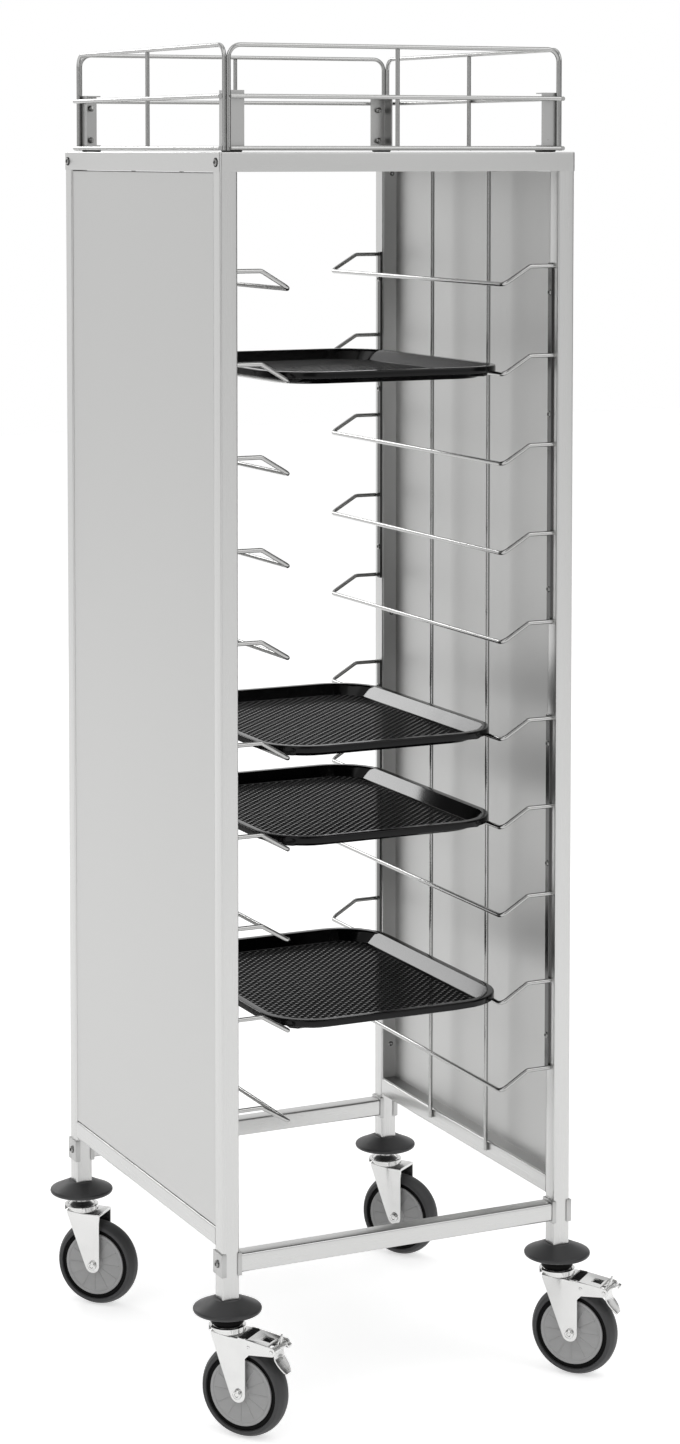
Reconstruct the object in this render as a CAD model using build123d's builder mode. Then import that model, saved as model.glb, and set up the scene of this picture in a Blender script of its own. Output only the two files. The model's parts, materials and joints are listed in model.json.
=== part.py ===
from build123d import *
import os
from math import cos, hypot, radians, sin

# Gastronorm tray trolley, in millimetres. The origin is on the floor under the middle of the frame,
# +X to the right of someone facing the open front, +Y to the back and +Z up.

# Frame of square tube
frame_width = 530.0
frame_depth = 565.0
post_length = 1525.0
tube = 25.0
tube_wall = 1.5
tube_inner_radius = 0.5
cover_sheet = 1.0
cross_rail_rise = 47.5  # post foot to the middle of the front and rear cross rails
side_rail_rise = 80.5  # post foot to the middle of the lower side rails

# Bolted ends of the cross rails
saddle_web = 3.0
saddle_height = 31.0
saddle_return = 3.0
plug_length = 12.0
plug_clearance = 0.5
clamp_web = 2.0
clamp_return = 5.5
return_sheet = 1.8
clamp_bolt = 6.0
clamp_head = 10.5
clamp_head_height = 3.2

# Side panels
panel_sheet = 1.0
panel_recess = 1.5  # below the posts' outer faces
panel_flange = 22.0
panel_corner = 1.8
panel_screw_inset = 10.0  # from the posts' outer faces
panel_screw_low = 54.0  # above the panel's lower edge
panel_screw_high = 7.0  # below the panel's upper edge

# Wires and support racks
wire = 6.0
tiers_per_rack = 5
tier_pitch = 123.0
rack_pitch = 135.0  # last tier of the upper rack to the first of the lower
first_tier_drop = 156.0  # deck to the topmost tier
run_spacing = 322.0  # between the long runs of one tier
shoulder_spacing = 404.0  # between the bends where the wires turn down
stop_inset = 10.5  # from the posts' outer faces to the middle of an end stop's wire
run_drop = 24.5
rack_bend = 9.0
bar_width = 10.0
bar_thickness = 3.0
bar_overhang = 4.0
bar_screw_places = ((0, 37.0), (1, 82.0), (3, 79.0))  # tiers down from the top one, and a drop
guard_spacing = 174.0

# Trays
tray_overhang = 15.0  # past the middle of the wires at each side
tray_length = 462.0
tray_corner = 77.0
tray_lip = 9.0
tray_depth = 17.5
tray_sheet = 2.5
tray_wall_run = 16.0
tray_seat_gap = 0.3

# Gallery on the deck
gallery_height = 140.0  # deck to the middle of the top wire
gallery_middle = 73.0
gallery_foot = 5.0
gallery_bend = 17.0
gallery_side_inset = 14.0  # frame's side face to the middle of a side panel's wires
gallery_end_inset = 14.0
corner_step = 4.3  # from one panel's upright to the neighbour's, each way
bracket_wing = 25.0
bracket_sheet = 1.5
bracket_chamfer = 8.0
bracket_height = 73.0
bracket_stud_low = 9.0
bracket_stud_pitch = 46.0
bracket_stud_inset = 11.0  # from the wing's free edge
pad_height = 8.0
pad_inset = 1.0
pad_corner = 4.0

# Dome screws and nuts
screw = 4.0
screw_head = 8.6
screw_head_height = 2.2
screw_reach = 2.5  # past the wall it is driven into
cover_screw = 5.0
cover_screw_head = 11.8
cover_screw_head_height = 2.8
head_rounding = 0.85  # share of a head's height that its dome takes
stud = 5.0
nut_flats = 8.0
nut_height = 4.0
nut_dome = 3.4
nut_dome_inset = 0.2

# Casters
wheel_diameter = 125.0
tyre_width = 30.0
tyre_shoulder = 7.0
disc_diameter = 91.0
disc_width = 28.0
groove_width = 3.2
groove_depth = 2.5
hub_diameter = 22.0
running_gap = 0.3
bore_clearance = 0.05
trail = 27.0
axle = 8.0
axle_head = 12.5
axle_head_height = 4.0
axle_head_rounding = 1.3
axle_nut_flats = 13.0
fork_width = 44.0
fork_sheet = 2.5
fork_lead = 17.0
fork_foot_radius = 11.0
fork_shoulder = 5.0
fork_fold = 2.4
crown_gap = 12.5
cup_diameter = 50.0
cup_height = 7.0
cup_wall = 5.0
cup_depth = 4.0
king_pin = 12.0
king_pin_head = 18.0
king_pin_head_height = 3.0
head_height = 16.0
neck_diameter = 22.0
neck_straight = 4.0
stem_diameter = 21.0
stem_reach = 35.0
bumper_diameter = 93.0
bumper_height = 20.0
bumper_rim = 9.0
bumper_top_diameter = 38.0
lock_ring_diameter = 44.0
lock_ring_height = 13.0
lock_ring_teeth = 20
lock_tooth = 2.4
lock_tooth_height = 6.5

# Brake of the front casters
horn_reach = 77.0  # swivel axis to the pedal's pivot
horn_pivot_drop = 12.5  # crown's top face to the pivot
horn_end_radius = 6.0
horn_depth = 21.5
horn_web_start = 40.0
horn_web_end = 71.0
horn_slot_length = 14.0
horn_slot_width = 16.0
horn_slot_start = 54.0
pedal_pin = 5.0
pedal_pin_overhang = 1.2
pedal_sheet = 2.5
pedal_hub_radius = 4.6
pedal_side_gap = 1.5
pedal_width = 26.0
pedal_plate_start = 15.0  # below the pivot
pedal_plate_length = 21.0
pedal_plate_slope = 48.0
pedal_tab_width = 12.0
pedal_tab_height = 18.0
pedal_tab_lean = 15.0

# Direction in which each caster trails, in degrees to the front of +X
trail_angles = {
    "front_left": 52.0,
    "front_right": 50.0,
    "rear_left": 46.0,
    "rear_right": 54.0,
}

SIDES = {"left": -1, "right": 1}
ENDS = {"front": -1, "rear": 1}
CORNERS = {f"{end}_{side}": (SIDES[side], ENDS[end]) for end in ENDS for side in SIDES}
TRAY_PLACES = {2: 3.0, 6: 18.0, 7: 18.0, 9: 1.0}  # tier, counted from the top: its tray's front inset

# Heights of the casters' parts, from the floor up
axle_height = wheel_diameter / 2
crown_underside = wheel_diameter + crown_gap
crown_top = crown_underside + fork_sheet
cup_top = crown_top + cup_height
cup_floor = cup_top - cup_depth
bumper_bottom = cup_top + head_height
post_foot = bumper_bottom + bumper_height

# Places in the frame
tube_radius = tube_inner_radius + tube_wall
tube_bore = tube - 2 * tube_wall
post_x = (frame_width - tube) / 2
post_y = (frame_depth - tube) / 2
inner_x = frame_width / 2 - tube
inner_y = frame_depth / 2 - tube
frame_top = post_foot + post_length
deck = frame_top + cover_sheet
top_rail_height = frame_top - tube / 2
cross_rail_height = post_foot + cross_rail_rise
side_rail_height = post_foot + side_rail_rise
panel_bottom = side_rail_height + tube / 2
panel_top = frame_top - tube
panel_face = frame_width / 2 - panel_recess
panel_screw_x = frame_width / 2 - panel_screw_inset
panel_screw_heights = (
    panel_bottom + panel_screw_low,
    (panel_bottom + panel_screw_low + panel_top - panel_screw_high) / 2,
    panel_top - panel_screw_high,
)

# Places of the wires
wire_radius = wire / 2
stop_y = frame_depth / 2 - stop_inset
bar_y = stop_y - wire_radius - bar_width / 2
bar_face = inner_x - bar_thickness
rack_height = (tiers_per_rack - 1) * tier_pitch
rack_tops = {
    "upper": deck - first_tier_drop,
    "lower": deck - first_tier_drop - rack_height - rack_pitch,
}
tier_heights = [
    top - tier_pitch * step for top in rack_tops.values() for step in range(tiers_per_rack)
]
bar_screw_heights = {
    rack: [top - tier_pitch * tiers - drop for tiers, drop in bar_screw_places]
    for rack, top in rack_tops.items()
}
all_bar_screw_heights = [height for heights in bar_screw_heights.values() for height in heights]

# Places on the deck
gallery_side_x = frame_width / 2 - gallery_side_inset
gallery_end_y = frame_depth / 2 - gallery_end_inset
gallery_end_upright_x = gallery_side_x - corner_step
gallery_side_upright_y = gallery_end_y - corner_step
bracket_x = gallery_side_x - wire_radius
bracket_y = gallery_end_y - wire_radius
bracket_foot = deck + pad_height
bracket_stud_x = bracket_x - bracket_wing + bracket_stud_inset
bracket_stud_heights = (
    bracket_foot + bracket_stud_low,
    bracket_foot + bracket_stud_low + bracket_stud_pitch,
)

os.makedirs("parts", exist_ok=True)


def save(piece, name):
    """Write one sub-part under its own name."""
    piece.label = name
    export_step(piece, f"parts/{name}.step")


def save_group(pieces, name):
    """Write like pieces as separate solids of one sub-part."""
    save(Compound(label=name, children=pieces), name)


def square_tube(start, direction, length):
    """A length of the frame's square tube."""
    with BuildPart() as length_of_tube:
        across = (0, 0, 1) if direction[2] == 0 else (1, 0, 0)
        with BuildSketch(Plane(origin=start, x_dir=across, z_dir=direction)):
            RectangleRounded(tube, tube, tube_radius)
            RectangleRounded(tube_bore, tube_bore, tube_inner_radius, mode=Mode.SUBTRACT)
        extrude(amount=length)
    return length_of_tube.part


def bent_wire(points, bend):
    """A round wire along straight runs joined by bends."""
    with BuildPart() as bent:
        with BuildLine() as route:
            FilletPolyline(points, radius=bend)
        with BuildSketch(Plane(origin=route.line @ 0, z_dir=route.line % 0)):
            Circle(wire_radius)
        sweep()
    return bent.part


def straight_wire(start, end):
    """A straight round wire between two points."""
    run = Vector(*end) - Vector(*start)
    with BuildPart() as straight:
        with BuildSketch(Plane(origin=start, z_dir=run.normalized())):
            Circle(wire_radius)
        extrude(amount=run.length)
    return straight.part


def domed_screw(seat, outward, length, shank=screw, head=screw_head, height=screw_head_height):
    """A screw whose domed head stands on the seat, with its shank driven in behind."""
    face = Plane(origin=seat, z_dir=outward)
    with BuildPart() as driven:
        with BuildSketch(face):
            Circle(shank / 2)
        extrude(amount=-length)
        with BuildSketch(face):
            Circle(head / 2)
        extrude(amount=height)
        crown = driven.edges().filter_by(GeomType.CIRCLE).sort_by(Axis(seat, outward))[-1]
        fillet(crown, height * head_rounding)
    return driven.part


def make_post(side, end):
    """A corner post, with its screw and bolt holes."""
    with BuildPart() as post:
        add(square_tube((side * post_x, end * post_y, post_foot), (0, 0, 1), post_length))
        with Locations(*[(side * inner_x, end * bar_y, height) for height in all_bar_screw_heights]):
            Cylinder(screw / 2, tube, rotation=(0, 90, 0), mode=Mode.SUBTRACT)
        with Locations((side * post_x, end * post_y, cross_rail_height)):
            Cylinder(clamp_bolt / 2, 2 * tube, rotation=(0, 90, 0), mode=Mode.SUBTRACT)
        with Locations(*[(side * panel_screw_x, end * inner_y, height) for height in panel_screw_heights]):
            Cylinder(screw / 2, tube, rotation=(90, 0, 0), mode=Mode.SUBTRACT)
        with Locations((side * frame_width / 2, end * post_y, top_rail_height)):
            Cylinder(cover_screw / 2, tube, rotation=(0, 90, 0), mode=Mode.SUBTRACT)
    return post.part


def make_cover():
    """The folded deck that sits over the top rails like a lid."""
    with BuildPart() as cover:
        with BuildSketch(Plane.XY.offset(panel_top)):
            RectangleRounded(
                frame_width + 2 * cover_sheet, frame_depth + 2 * cover_sheet, tube_radius + cover_sheet
            )
        extrude(amount=tube + cover_sheet)
        with BuildSketch(Plane.XY.offset(panel_top)):
            RectangleRounded(frame_width, frame_depth, tube_radius)
        extrude(amount=tube, mode=Mode.SUBTRACT)
        with Locations(
            *[(side * frame_width / 2, end * post_y, top_rail_height) for side, end in CORNERS.values()]
        ):
            Cylinder(cover_screw / 2, tube, rotation=(0, 90, 0), mode=Mode.SUBTRACT)
    return cover.part


def make_saddle(side, end):
    """The shallow cradle at a cross rail's end, with the threaded plug inside the rail."""
    middle = (end * post_y, cross_rail_height)
    outer_width = tube + 2 * return_sheet
    with BuildPart() as saddle:
        with BuildSketch(Plane.YZ.offset(side * (inner_x - saddle_web))):
            with Locations(middle):
                Rectangle(outer_width, saddle_height)
        extrude(amount=side * (saddle_web + saddle_return))
        with BuildSketch(Plane.YZ.offset(side * inner_x)):
            with Locations(middle):
                Rectangle(tube, saddle_height)
        extrude(amount=side * saddle_return, mode=Mode.SUBTRACT)
        with BuildSketch(Plane.YZ.offset(side * (inner_x - saddle_web))):
            with Locations(middle):
                Rectangle(tube_bore - 2 * plug_clearance, tube_bore - 2 * plug_clearance)
        extrude(amount=-side * plug_length)
        with Locations((side * inner_x, end * post_y, cross_rail_height)):
            Cylinder(clamp_bolt / 2, 2 * tube, rotation=(0, 90, 0), mode=Mode.SUBTRACT)
    return saddle.part


def make_clamp(side, end):
    """The shallow channel under a clamp bolt's head, round the outside of a post."""
    middle = (end * post_y, cross_rail_height)
    outer_face = frame_width / 2
    with BuildPart() as clamp:
        with BuildSketch(Plane.YZ.offset(side * (outer_face + clamp_web))):
            with Locations(middle):
                Rectangle(tube + 2 * return_sheet, saddle_height)
        extrude(amount=-side * (clamp_web + clamp_return))
        with BuildSketch(Plane.YZ.offset(side * outer_face)):
            with Locations(middle):
                Rectangle(tube, saddle_height)
        extrude(amount=-side * clamp_return, mode=Mode.SUBTRACT)
        with Locations((side * outer_face, end * post_y, cross_rail_height)):
            Cylinder(clamp_bolt / 2, tube, rotation=(0, 90, 0), mode=Mode.SUBTRACT)
    return clamp.part


def make_panel(side):
    """A side panel, a shallow pan that opens towards the trays."""
    height = panel_top - panel_bottom
    outer = Plane.YZ.offset(side * panel_face)
    with BuildPart() as panel:
        with BuildSketch(outer):
            with Locations((0, panel_bottom + height / 2)):
                Rectangle(2 * inner_y, height)
        extrude(amount=-side * panel_flange)
        folds = panel.edges().group_by(Axis.X)[-1 if side > 0 else 0]
        fillet(folds, panel_corner)
        with BuildSketch(Plane.YZ.offset(side * (panel_face - panel_sheet))):
            with Locations((0, panel_bottom + height / 2)):
                Rectangle(2 * (inner_y - panel_sheet), height - 2 * panel_sheet)
        extrude(amount=-side * panel_flange, mode=Mode.SUBTRACT)
        for end in ENDS.values():
            with Locations(*[(side * panel_screw_x, end * inner_y, z) for z in panel_screw_heights]):
                Cylinder(screw / 2, tube, rotation=(90, 0, 0), mode=Mode.SUBTRACT)
    return panel.part


def make_support(side, tier):
    """One tray support, bent from a single wire so that its ends stop the tray."""
    shoulder = side * shoulder_spacing / 2
    run = side * run_spacing / 2
    low = tier - run_drop
    return bent_wire(
        [
            (side * inner_x, -stop_y, tier),
            (shoulder, -stop_y, tier),
            (run, -stop_y, low),
            (run, stop_y, low),
            (shoulder, stop_y, tier),
            (side * inner_x, stop_y, tier),
        ],
        rack_bend,
    )


def make_bar(side, end, rack):
    """The flat bar to which one rack's wires are welded at one post."""
    height = rack_height + 2 * bar_overhang
    middle = rack_tops[rack] + bar_overhang - height / 2
    with BuildPart() as bar:
        with BuildSketch(Plane.YZ.offset(side * inner_x)):
            with Locations((end * bar_y, middle)):
                Rectangle(bar_width, height)
        extrude(amount=-side * bar_thickness)
        with Locations(*[(side * inner_x, end * bar_y, screw_z) for screw_z in bar_screw_heights[rack]]):
            Cylinder(screw / 2, tube, rotation=(0, 90, 0), mode=Mode.SUBTRACT)
    return bar.part


def make_tray(tier, front_inset):
    """A tray whose sloping walls sit between the two long runs of its tier.

    front_inset runs from the posts' front faces to the tray's front edge.
    """
    run_height = tier - run_drop
    top = run_height + wire_radius + tray_lip
    under_rim = top - tray_sheet
    underside = top - tray_depth
    wall_drop = tray_depth - tray_sheet
    wall_length = hypot(tray_wall_run, wall_drop)
    width = run_spacing + 2 * tray_overhang
    seat = (wire_radius + tray_seat_gap) * wall_length
    wall_half_width = run_spacing / 2 - (seat + (run_height - under_rim) * tray_wall_run) / wall_drop
    rim = width / 2 - wall_half_width
    slant = tray_sheet * wall_length / wall_drop
    slope = tray_wall_run / wall_drop
    centre = (0, front_inset - frame_depth / 2 + tray_length / 2)

    def outline(inset):
        with Locations(centre):
            RectangleRounded(width - 2 * inset, tray_length - 2 * inset, tray_corner - inset)

    with BuildPart() as tray:
        with BuildSketch(Plane.XY.offset(top - tray_lip)):
            outline(0)
        extrude(amount=tray_lip)
        with BuildSketch(Plane.XY.offset(top - tray_lip)):
            outline(tray_sheet)
        extrude(amount=tray_lip - tray_sheet, mode=Mode.SUBTRACT)
        with BuildSketch(Plane.XY.offset(underside)):
            outline(rim + tray_wall_run)
        with BuildSketch(Plane.XY.offset(under_rim)):
            outline(rim)
        loft(ruled=True)
        with BuildSketch(Plane.XY.offset(underside + tray_sheet)):
            outline(rim + slant + tray_wall_run - tray_sheet * slope)
        with BuildSketch(Plane.XY.offset(top)):
            outline(rim + slant - tray_sheet * slope)
        loft(ruled=True, mode=Mode.SUBTRACT)
    return tray.part


def make_gallery_panel(across, outward, half_width):
    """A gallery panel, a bent frame with two rails and an upright welded to it.

    across runs along the panel and outward is the middle of its frame, as a vector from the centre.
    """
    centre = Vector(*outward)
    along = Vector(*across)
    step = centre.normalized() * wire
    top = Vector(0, 0, deck + gallery_height)
    middle = Vector(0, 0, deck + gallery_middle)
    foot = Vector(0, 0, deck + gallery_foot)
    low = Vector(0, 0, deck + gallery_foot - wire_radius)
    left = centre - along * half_width
    right = centre + along * half_width
    reach = along * wire_radius
    frame = bent_wire([left + low, left + top, right + top, right + low], gallery_bend)
    middle_rail = straight_wire(left - reach + step + middle, right + reach + step + middle)
    foot_rail = straight_wire(left - reach + step + foot, right + reach + step + foot)
    upright = straight_wire(centre + low, centre + top - Vector(0, 0, wire_radius))
    return [frame, middle_rail, foot_rail, upright]


def make_bracket(side, end):
    """A corner bracket, an angle closed by a small cap and foot."""
    corner = (side * bracket_x, end * bracket_y)
    middle = (corner[0] - side * bracket_wing / 2, corner[1] - end * bracket_wing / 2)
    inside = (middle[0] - side * bracket_sheet, middle[1] - end * bracket_sheet)
    with BuildPart() as bracket:
        with BuildSketch(Plane.XY.offset(bracket_foot)):
            with Locations(middle):
                Rectangle(bracket_wing, bracket_wing)
        extrude(amount=bracket_height)
        with BuildSketch(Plane.XY.offset(bracket_foot + bracket_sheet)):
            with Locations(inside):
                Rectangle(bracket_wing, bracket_wing)
        extrude(amount=bracket_height - 2 * bracket_sheet, mode=Mode.SUBTRACT)
        free_corners = bracket.edges().filter_by(Axis.Z).sort_by_distance((0, 0, bracket_foot))[:2]
        chamfer(free_corners, bracket_chamfer)
        with Locations(*[(side * bracket_stud_x, corner[1], z) for z in bracket_stud_heights]):
            Cylinder(stud / 2, bracket_wing, rotation=(90, 0, 0), mode=Mode.SUBTRACT)
    return bracket.part


def make_pad(side, end):
    """The pad between a bracket's foot and the deck."""
    width = bracket_wing - 2 * pad_inset
    with BuildPart() as pad:
        with BuildSketch(Plane.XY.offset(deck)):
            with Locations((side * (bracket_x - bracket_wing / 2), end * (bracket_y - bracket_wing / 2))):
                RectangleRounded(width, width, pad_corner)
        extrude(amount=pad_height)
    return pad.part


def make_stud_nut(side, end, height):
    """A domed nut inside a bracket's wing, on a stud that ends flush outside."""
    outer = Plane(origin=(side * bracket_stud_x, end * bracket_y, height), z_dir=(0, -end, 0))
    seat = outer.offset(bracket_sheet)
    with BuildPart() as nut:
        with BuildSketch(outer):
            Circle(stud / 2)
        extrude(amount=bracket_sheet)
        with BuildSketch(seat):
            RegularPolygon(nut_flats / 2, 6, major_radius=False)
        extrude(amount=nut_height)
        with BuildSketch(seat.offset(nut_height)):
            Circle(nut_flats / 2 - nut_dome_inset)
        extrude(amount=nut_dome)
        crown = nut.edges().filter_by(GeomType.CIRCLE).sort_by(Axis(seat.origin, seat.z_dir))[-1]
        fillet(crown, nut_dome * head_rounding)
    return nut.part


class Caster:
    """Planes and points of one caster, from its swivel axis and the way it trails."""

    def __init__(self, name):
        self.side, self.end = CORNERS[name]
        self.braked = self.end == ENDS["front"]
        angle = radians(trail_angles[name])
        self.heading = Vector(cos(angle), -sin(angle), 0)
        self.across = self.heading.cross(Vector(0, 0, 1))
        self.seat = Vector(self.side * post_x, self.end * post_y, 0)
        self.hub = self.seat + self.heading * trail + Vector(0, 0, axle_height)
        self.elevation = Plane(origin=self.seat, x_dir=self.heading, z_dir=self.across)
        self.plan = Plane(origin=self.seat, x_dir=self.heading, z_dir=(0, 0, 1))
        self.axle_face = Plane(origin=self.hub, x_dir=self.heading, z_dir=self.across)
        self.wheel_section = Plane(origin=self.hub, x_dir=self.heading, z_dir=(0, 0, 1))
        self.axle_axis = Axis(self.hub, self.across)
        self.swivel_axis = Axis(self.seat, (0, 0, 1))


def make_bumper(caster):
    """The bumper disc between a post and its caster; the braked ones have a toothed ring below."""
    outer = bumper_diameter / 2
    with BuildPart() as bumper:
        with BuildSketch(caster.elevation):
            with BuildLine():
                Polyline(
                    (outer - bumper_rim, bumper_bottom),
                    (stem_diameter / 2, bumper_bottom),
                    (stem_diameter / 2, post_foot),
                    (bumper_top_diameter / 2, post_foot),
                    (outer - bumper_rim / 2, bumper_bottom + bumper_rim),
                )
                Spline(
                    (outer - bumper_rim / 2, bumper_bottom + bumper_rim),
                    (outer, bumper_bottom + bumper_rim / 2),
                    (outer - bumper_rim, bumper_bottom),
                )
            make_face()
        revolve(axis=caster.swivel_axis)
    if not caster.braked:
        return [bumper.part]
    with BuildPart() as lock_ring:
        with BuildSketch(caster.plan.offset(bumper_bottom)):
            Circle(lock_ring_diameter / 2)
            Circle(cup_diameter / 2 - cup_wall + bore_clearance, mode=Mode.SUBTRACT)
        extrude(amount=-lock_ring_height)
        with BuildSketch(caster.plan.offset(bumper_bottom)):
            with PolarLocations(lock_ring_diameter / 2, lock_ring_teeth):
                Rectangle(lock_tooth, lock_tooth)
        extrude(amount=-lock_tooth_height, mode=Mode.SUBTRACT)
    return [bumper.part, lock_ring.part]


def make_stem(caster):
    """The fixed stem in the post's foot, with the race and the king pin that carry the fork."""
    race = cup_diameter / 2 - cup_wall - running_gap
    pin = king_pin / 2
    head_top = crown_underside - running_gap
    race_bottom = cup_floor + running_gap
    with BuildPart() as stem:
        with BuildSketch(caster.elevation):
            with BuildLine():
                Polyline(
                    (0, head_top - king_pin_head_height),
                    (king_pin_head / 2, head_top - king_pin_head_height),
                    (king_pin_head / 2, head_top),
                    (pin, head_top),
                    (pin, race_bottom),
                    (race, race_bottom),
                    (race, cup_top),
                    (neck_diameter / 2, bumper_bottom - neck_straight),
                    (neck_diameter / 2, bumper_bottom),
                    (stem_diameter / 2, bumper_bottom),
                    (stem_diameter / 2, post_foot + stem_reach),
                    (0, post_foot + stem_reach),
                    close=True,
                )
            make_face()
        revolve(axis=caster.swivel_axis)
    return stem.part


def make_fork(caster):
    """The pressed fork; the braked ones have two horns that carry the pedal."""
    cheek = fork_width / 2
    crown_end = trail + fork_foot_radius
    pivot = (horn_reach, crown_top - horn_pivot_drop)
    horn_end = pivot[0] + horn_end_radius
    horn_end_top = pivot[1] + horn_end_radius

    with BuildPart() as fork:
        with BuildSketch(caster.elevation):
            with Locations((trail, axle_height)):
                Circle(fork_foot_radius)
            with Locations(((crown_end - fork_lead) / 2, crown_top - fork_shoulder / 2)):
                Rectangle(crown_end + fork_lead, fork_shoulder)
            make_hull()
        extrude(amount=cheek, both=True)
        folds = fork.edges().filter_by(Axis(caster.seat, caster.heading)).group_by(Axis.Z)[-1]
        fillet(folds, fork_fold)
        if caster.braked:
            with BuildSketch(caster.elevation):
                with BuildLine():
                    Polyline(
                        (trail, crown_top),
                        (pivot[0], horn_end_top),
                        (pivot[0], pivot[1] - horn_end_radius),
                        (crown_end + horn_end_radius, crown_top - horn_depth),
                        (crown_end, crown_top - horn_depth - horn_end_radius),
                        (trail, crown_top - horn_depth - horn_end_radius),
                        close=True,
                    )
                make_face()
                with Locations(pivot):
                    Circle(horn_end_radius)
            extrude(amount=cheek, both=True)
        with BuildSketch(caster.elevation):
            with BuildLine():
                Polyline(
                    (-2 * fork_lead, 0),
                    (-2 * fork_lead, crown_underside),
                    (trail, crown_underside),
                    (pivot[0], horn_end_top - fork_sheet),
                    (horn_end + fork_lead, horn_end_top - fork_sheet),
                    (horn_end + fork_lead, 0),
                    close=True,
                )
            make_face()
        extrude(amount=cheek - fork_sheet, both=True, mode=Mode.SUBTRACT)
        if caster.braked:
            with BuildSketch(caster.plan.offset(crown_top)):
                with Locations(((trail + horn_web_start) / 2, 0)):
                    Rectangle(horn_web_start - trail, fork_width - 2 * fork_sheet)
                with Locations((horn_slot_start + horn_slot_length / 2, 0)):
                    Rectangle(horn_slot_length, horn_slot_width)
                with Locations(((horn_web_end + horn_end + fork_sheet) / 2, 0)):
                    Rectangle(horn_end + fork_sheet - horn_web_end, fork_width - 2 * fork_sheet)
            extrude(amount=-horn_depth, mode=Mode.SUBTRACT)
            pivot_point = caster.elevation.from_local_coords((*pivot, 0))
            with Locations(Plane(origin=pivot_point, z_dir=caster.across)):
                Cylinder(pedal_pin / 2 + bore_clearance, 2 * fork_width, mode=Mode.SUBTRACT)
        with BuildSketch(caster.plan.offset(crown_top)):
            Circle(cup_diameter / 2)
        extrude(amount=cup_height)
        with BuildSketch(caster.plan.offset(cup_top)):
            Circle(cup_diameter / 2 - cup_wall)
        extrude(amount=-cup_depth, mode=Mode.SUBTRACT)
        with BuildSketch(caster.plan.offset(cup_top)):
            Circle(king_pin / 2 + bore_clearance)
        extrude(amount=-2 * cup_height, mode=Mode.SUBTRACT)
        with BuildSketch(caster.axle_face):
            Circle(axle / 2)
        extrude(amount=fork_width, both=True, mode=Mode.SUBTRACT)
    return fork.part


def make_axle(caster):
    """The axle bolt through the fork's cheeks, with its nut."""
    cheek = fork_width / 2
    with BuildPart() as bolt:
        with BuildSketch(caster.axle_face.offset(-cheek)):
            Circle(axle / 2)
        extrude(amount=fork_width)
        with BuildSketch(caster.axle_face.offset(cheek)):
            Circle(axle_head / 2)
        extrude(amount=axle_head_height)
        with BuildSketch(caster.axle_face.offset(-cheek)):
            RegularPolygon(axle_nut_flats / 2, 6, major_radius=False)
        extrude(amount=-axle_head_height)
        rim = bolt.edges().filter_by(GeomType.CIRCLE).sort_by(caster.axle_axis)[-1]
        fillet(rim, axle_head_rounding)
    return bolt.part


def make_wheel(caster):
    """The wheel's centre, a disc with a longer hub."""
    bore = axle / 2 + bore_clearance
    hub_half = fork_width / 2 - fork_sheet - running_gap
    with BuildPart() as wheel:
        with BuildSketch(caster.wheel_section):
            with BuildLine():
                Polyline(
                    (bore, -hub_half),
                    (hub_diameter / 2, -hub_half),
                    (hub_diameter / 2, -disc_width / 2),
                    (disc_diameter / 2, -disc_width / 2),
                    (disc_diameter / 2, disc_width / 2),
                    (hub_diameter / 2, disc_width / 2),
                    (hub_diameter / 2, hub_half),
                    (bore, hub_half),
                    close=True,
                )
            make_face()
        revolve(axis=caster.axle_axis)
    return wheel.part


def make_tyre(caster):
    """The tyre round the disc, with a groove beside the disc and rounded shoulders."""
    tread = wheel_diameter / 2
    inner = disc_diameter / 2
    half = tyre_width / 2
    shelf = disc_width / 2 - groove_depth
    with BuildPart() as tyre:
        with BuildSketch(caster.wheel_section):
            with BuildLine():
                Polyline(
                    (tread - tyre_shoulder, -half),
                    (inner + groove_width, -half),
                    (inner + groove_width, -shelf),
                    (inner, -shelf),
                    (inner, shelf),
                    (inner + groove_width, shelf),
                    (inner + groove_width, half),
                    (tread - tyre_shoulder, half),
                )
                ThreePointArc(
                    (tread - tyre_shoulder, half), (tread, 0), (tread - tyre_shoulder, -half)
                )
            make_face()
        revolve(axis=caster.axle_axis)
    return tyre.part


def make_pedal(caster):
    """The brake pedal, which turns on a pin between the fork's horns."""
    pivot = Vector(horn_reach, crown_top - horn_pivot_drop, 0)
    hub_half = fork_width / 2 - fork_sheet - pedal_side_gap
    slope = radians(pedal_plate_slope)
    plate_start = pivot - Vector(0, pedal_plate_start, 0)
    plate_end = plate_start + Vector(cos(slope), -sin(slope), 0) * pedal_plate_length
    lean = radians(pedal_tab_lean)
    tab_end = pivot + Vector(sin(lean), cos(lean), 0) * pedal_tab_height
    with BuildPart() as pedal:
        with BuildSketch(caster.elevation):
            with Locations(pivot):
                Circle(pedal_pin / 2)
        extrude(amount=fork_width / 2 + pedal_pin_overhang, both=True)
        with BuildSketch(caster.elevation):
            with Locations(pivot):
                Circle(pedal_hub_radius)
        extrude(amount=hub_half, both=True)
        with BuildSketch(caster.elevation):
            with BuildLine():
                line = Polyline(pivot, plate_start, plate_end)
                offset(line, pedal_sheet / 2)
            make_face()
        extrude(amount=pedal_width / 2, both=True)
        with BuildSketch(caster.elevation):
            with BuildLine():
                line = Line(pivot, tab_end)
                offset(line, pedal_sheet / 2)
            make_face()
        extrude(amount=pedal_tab_width / 2, both=True)
    return pedal.part


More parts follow.
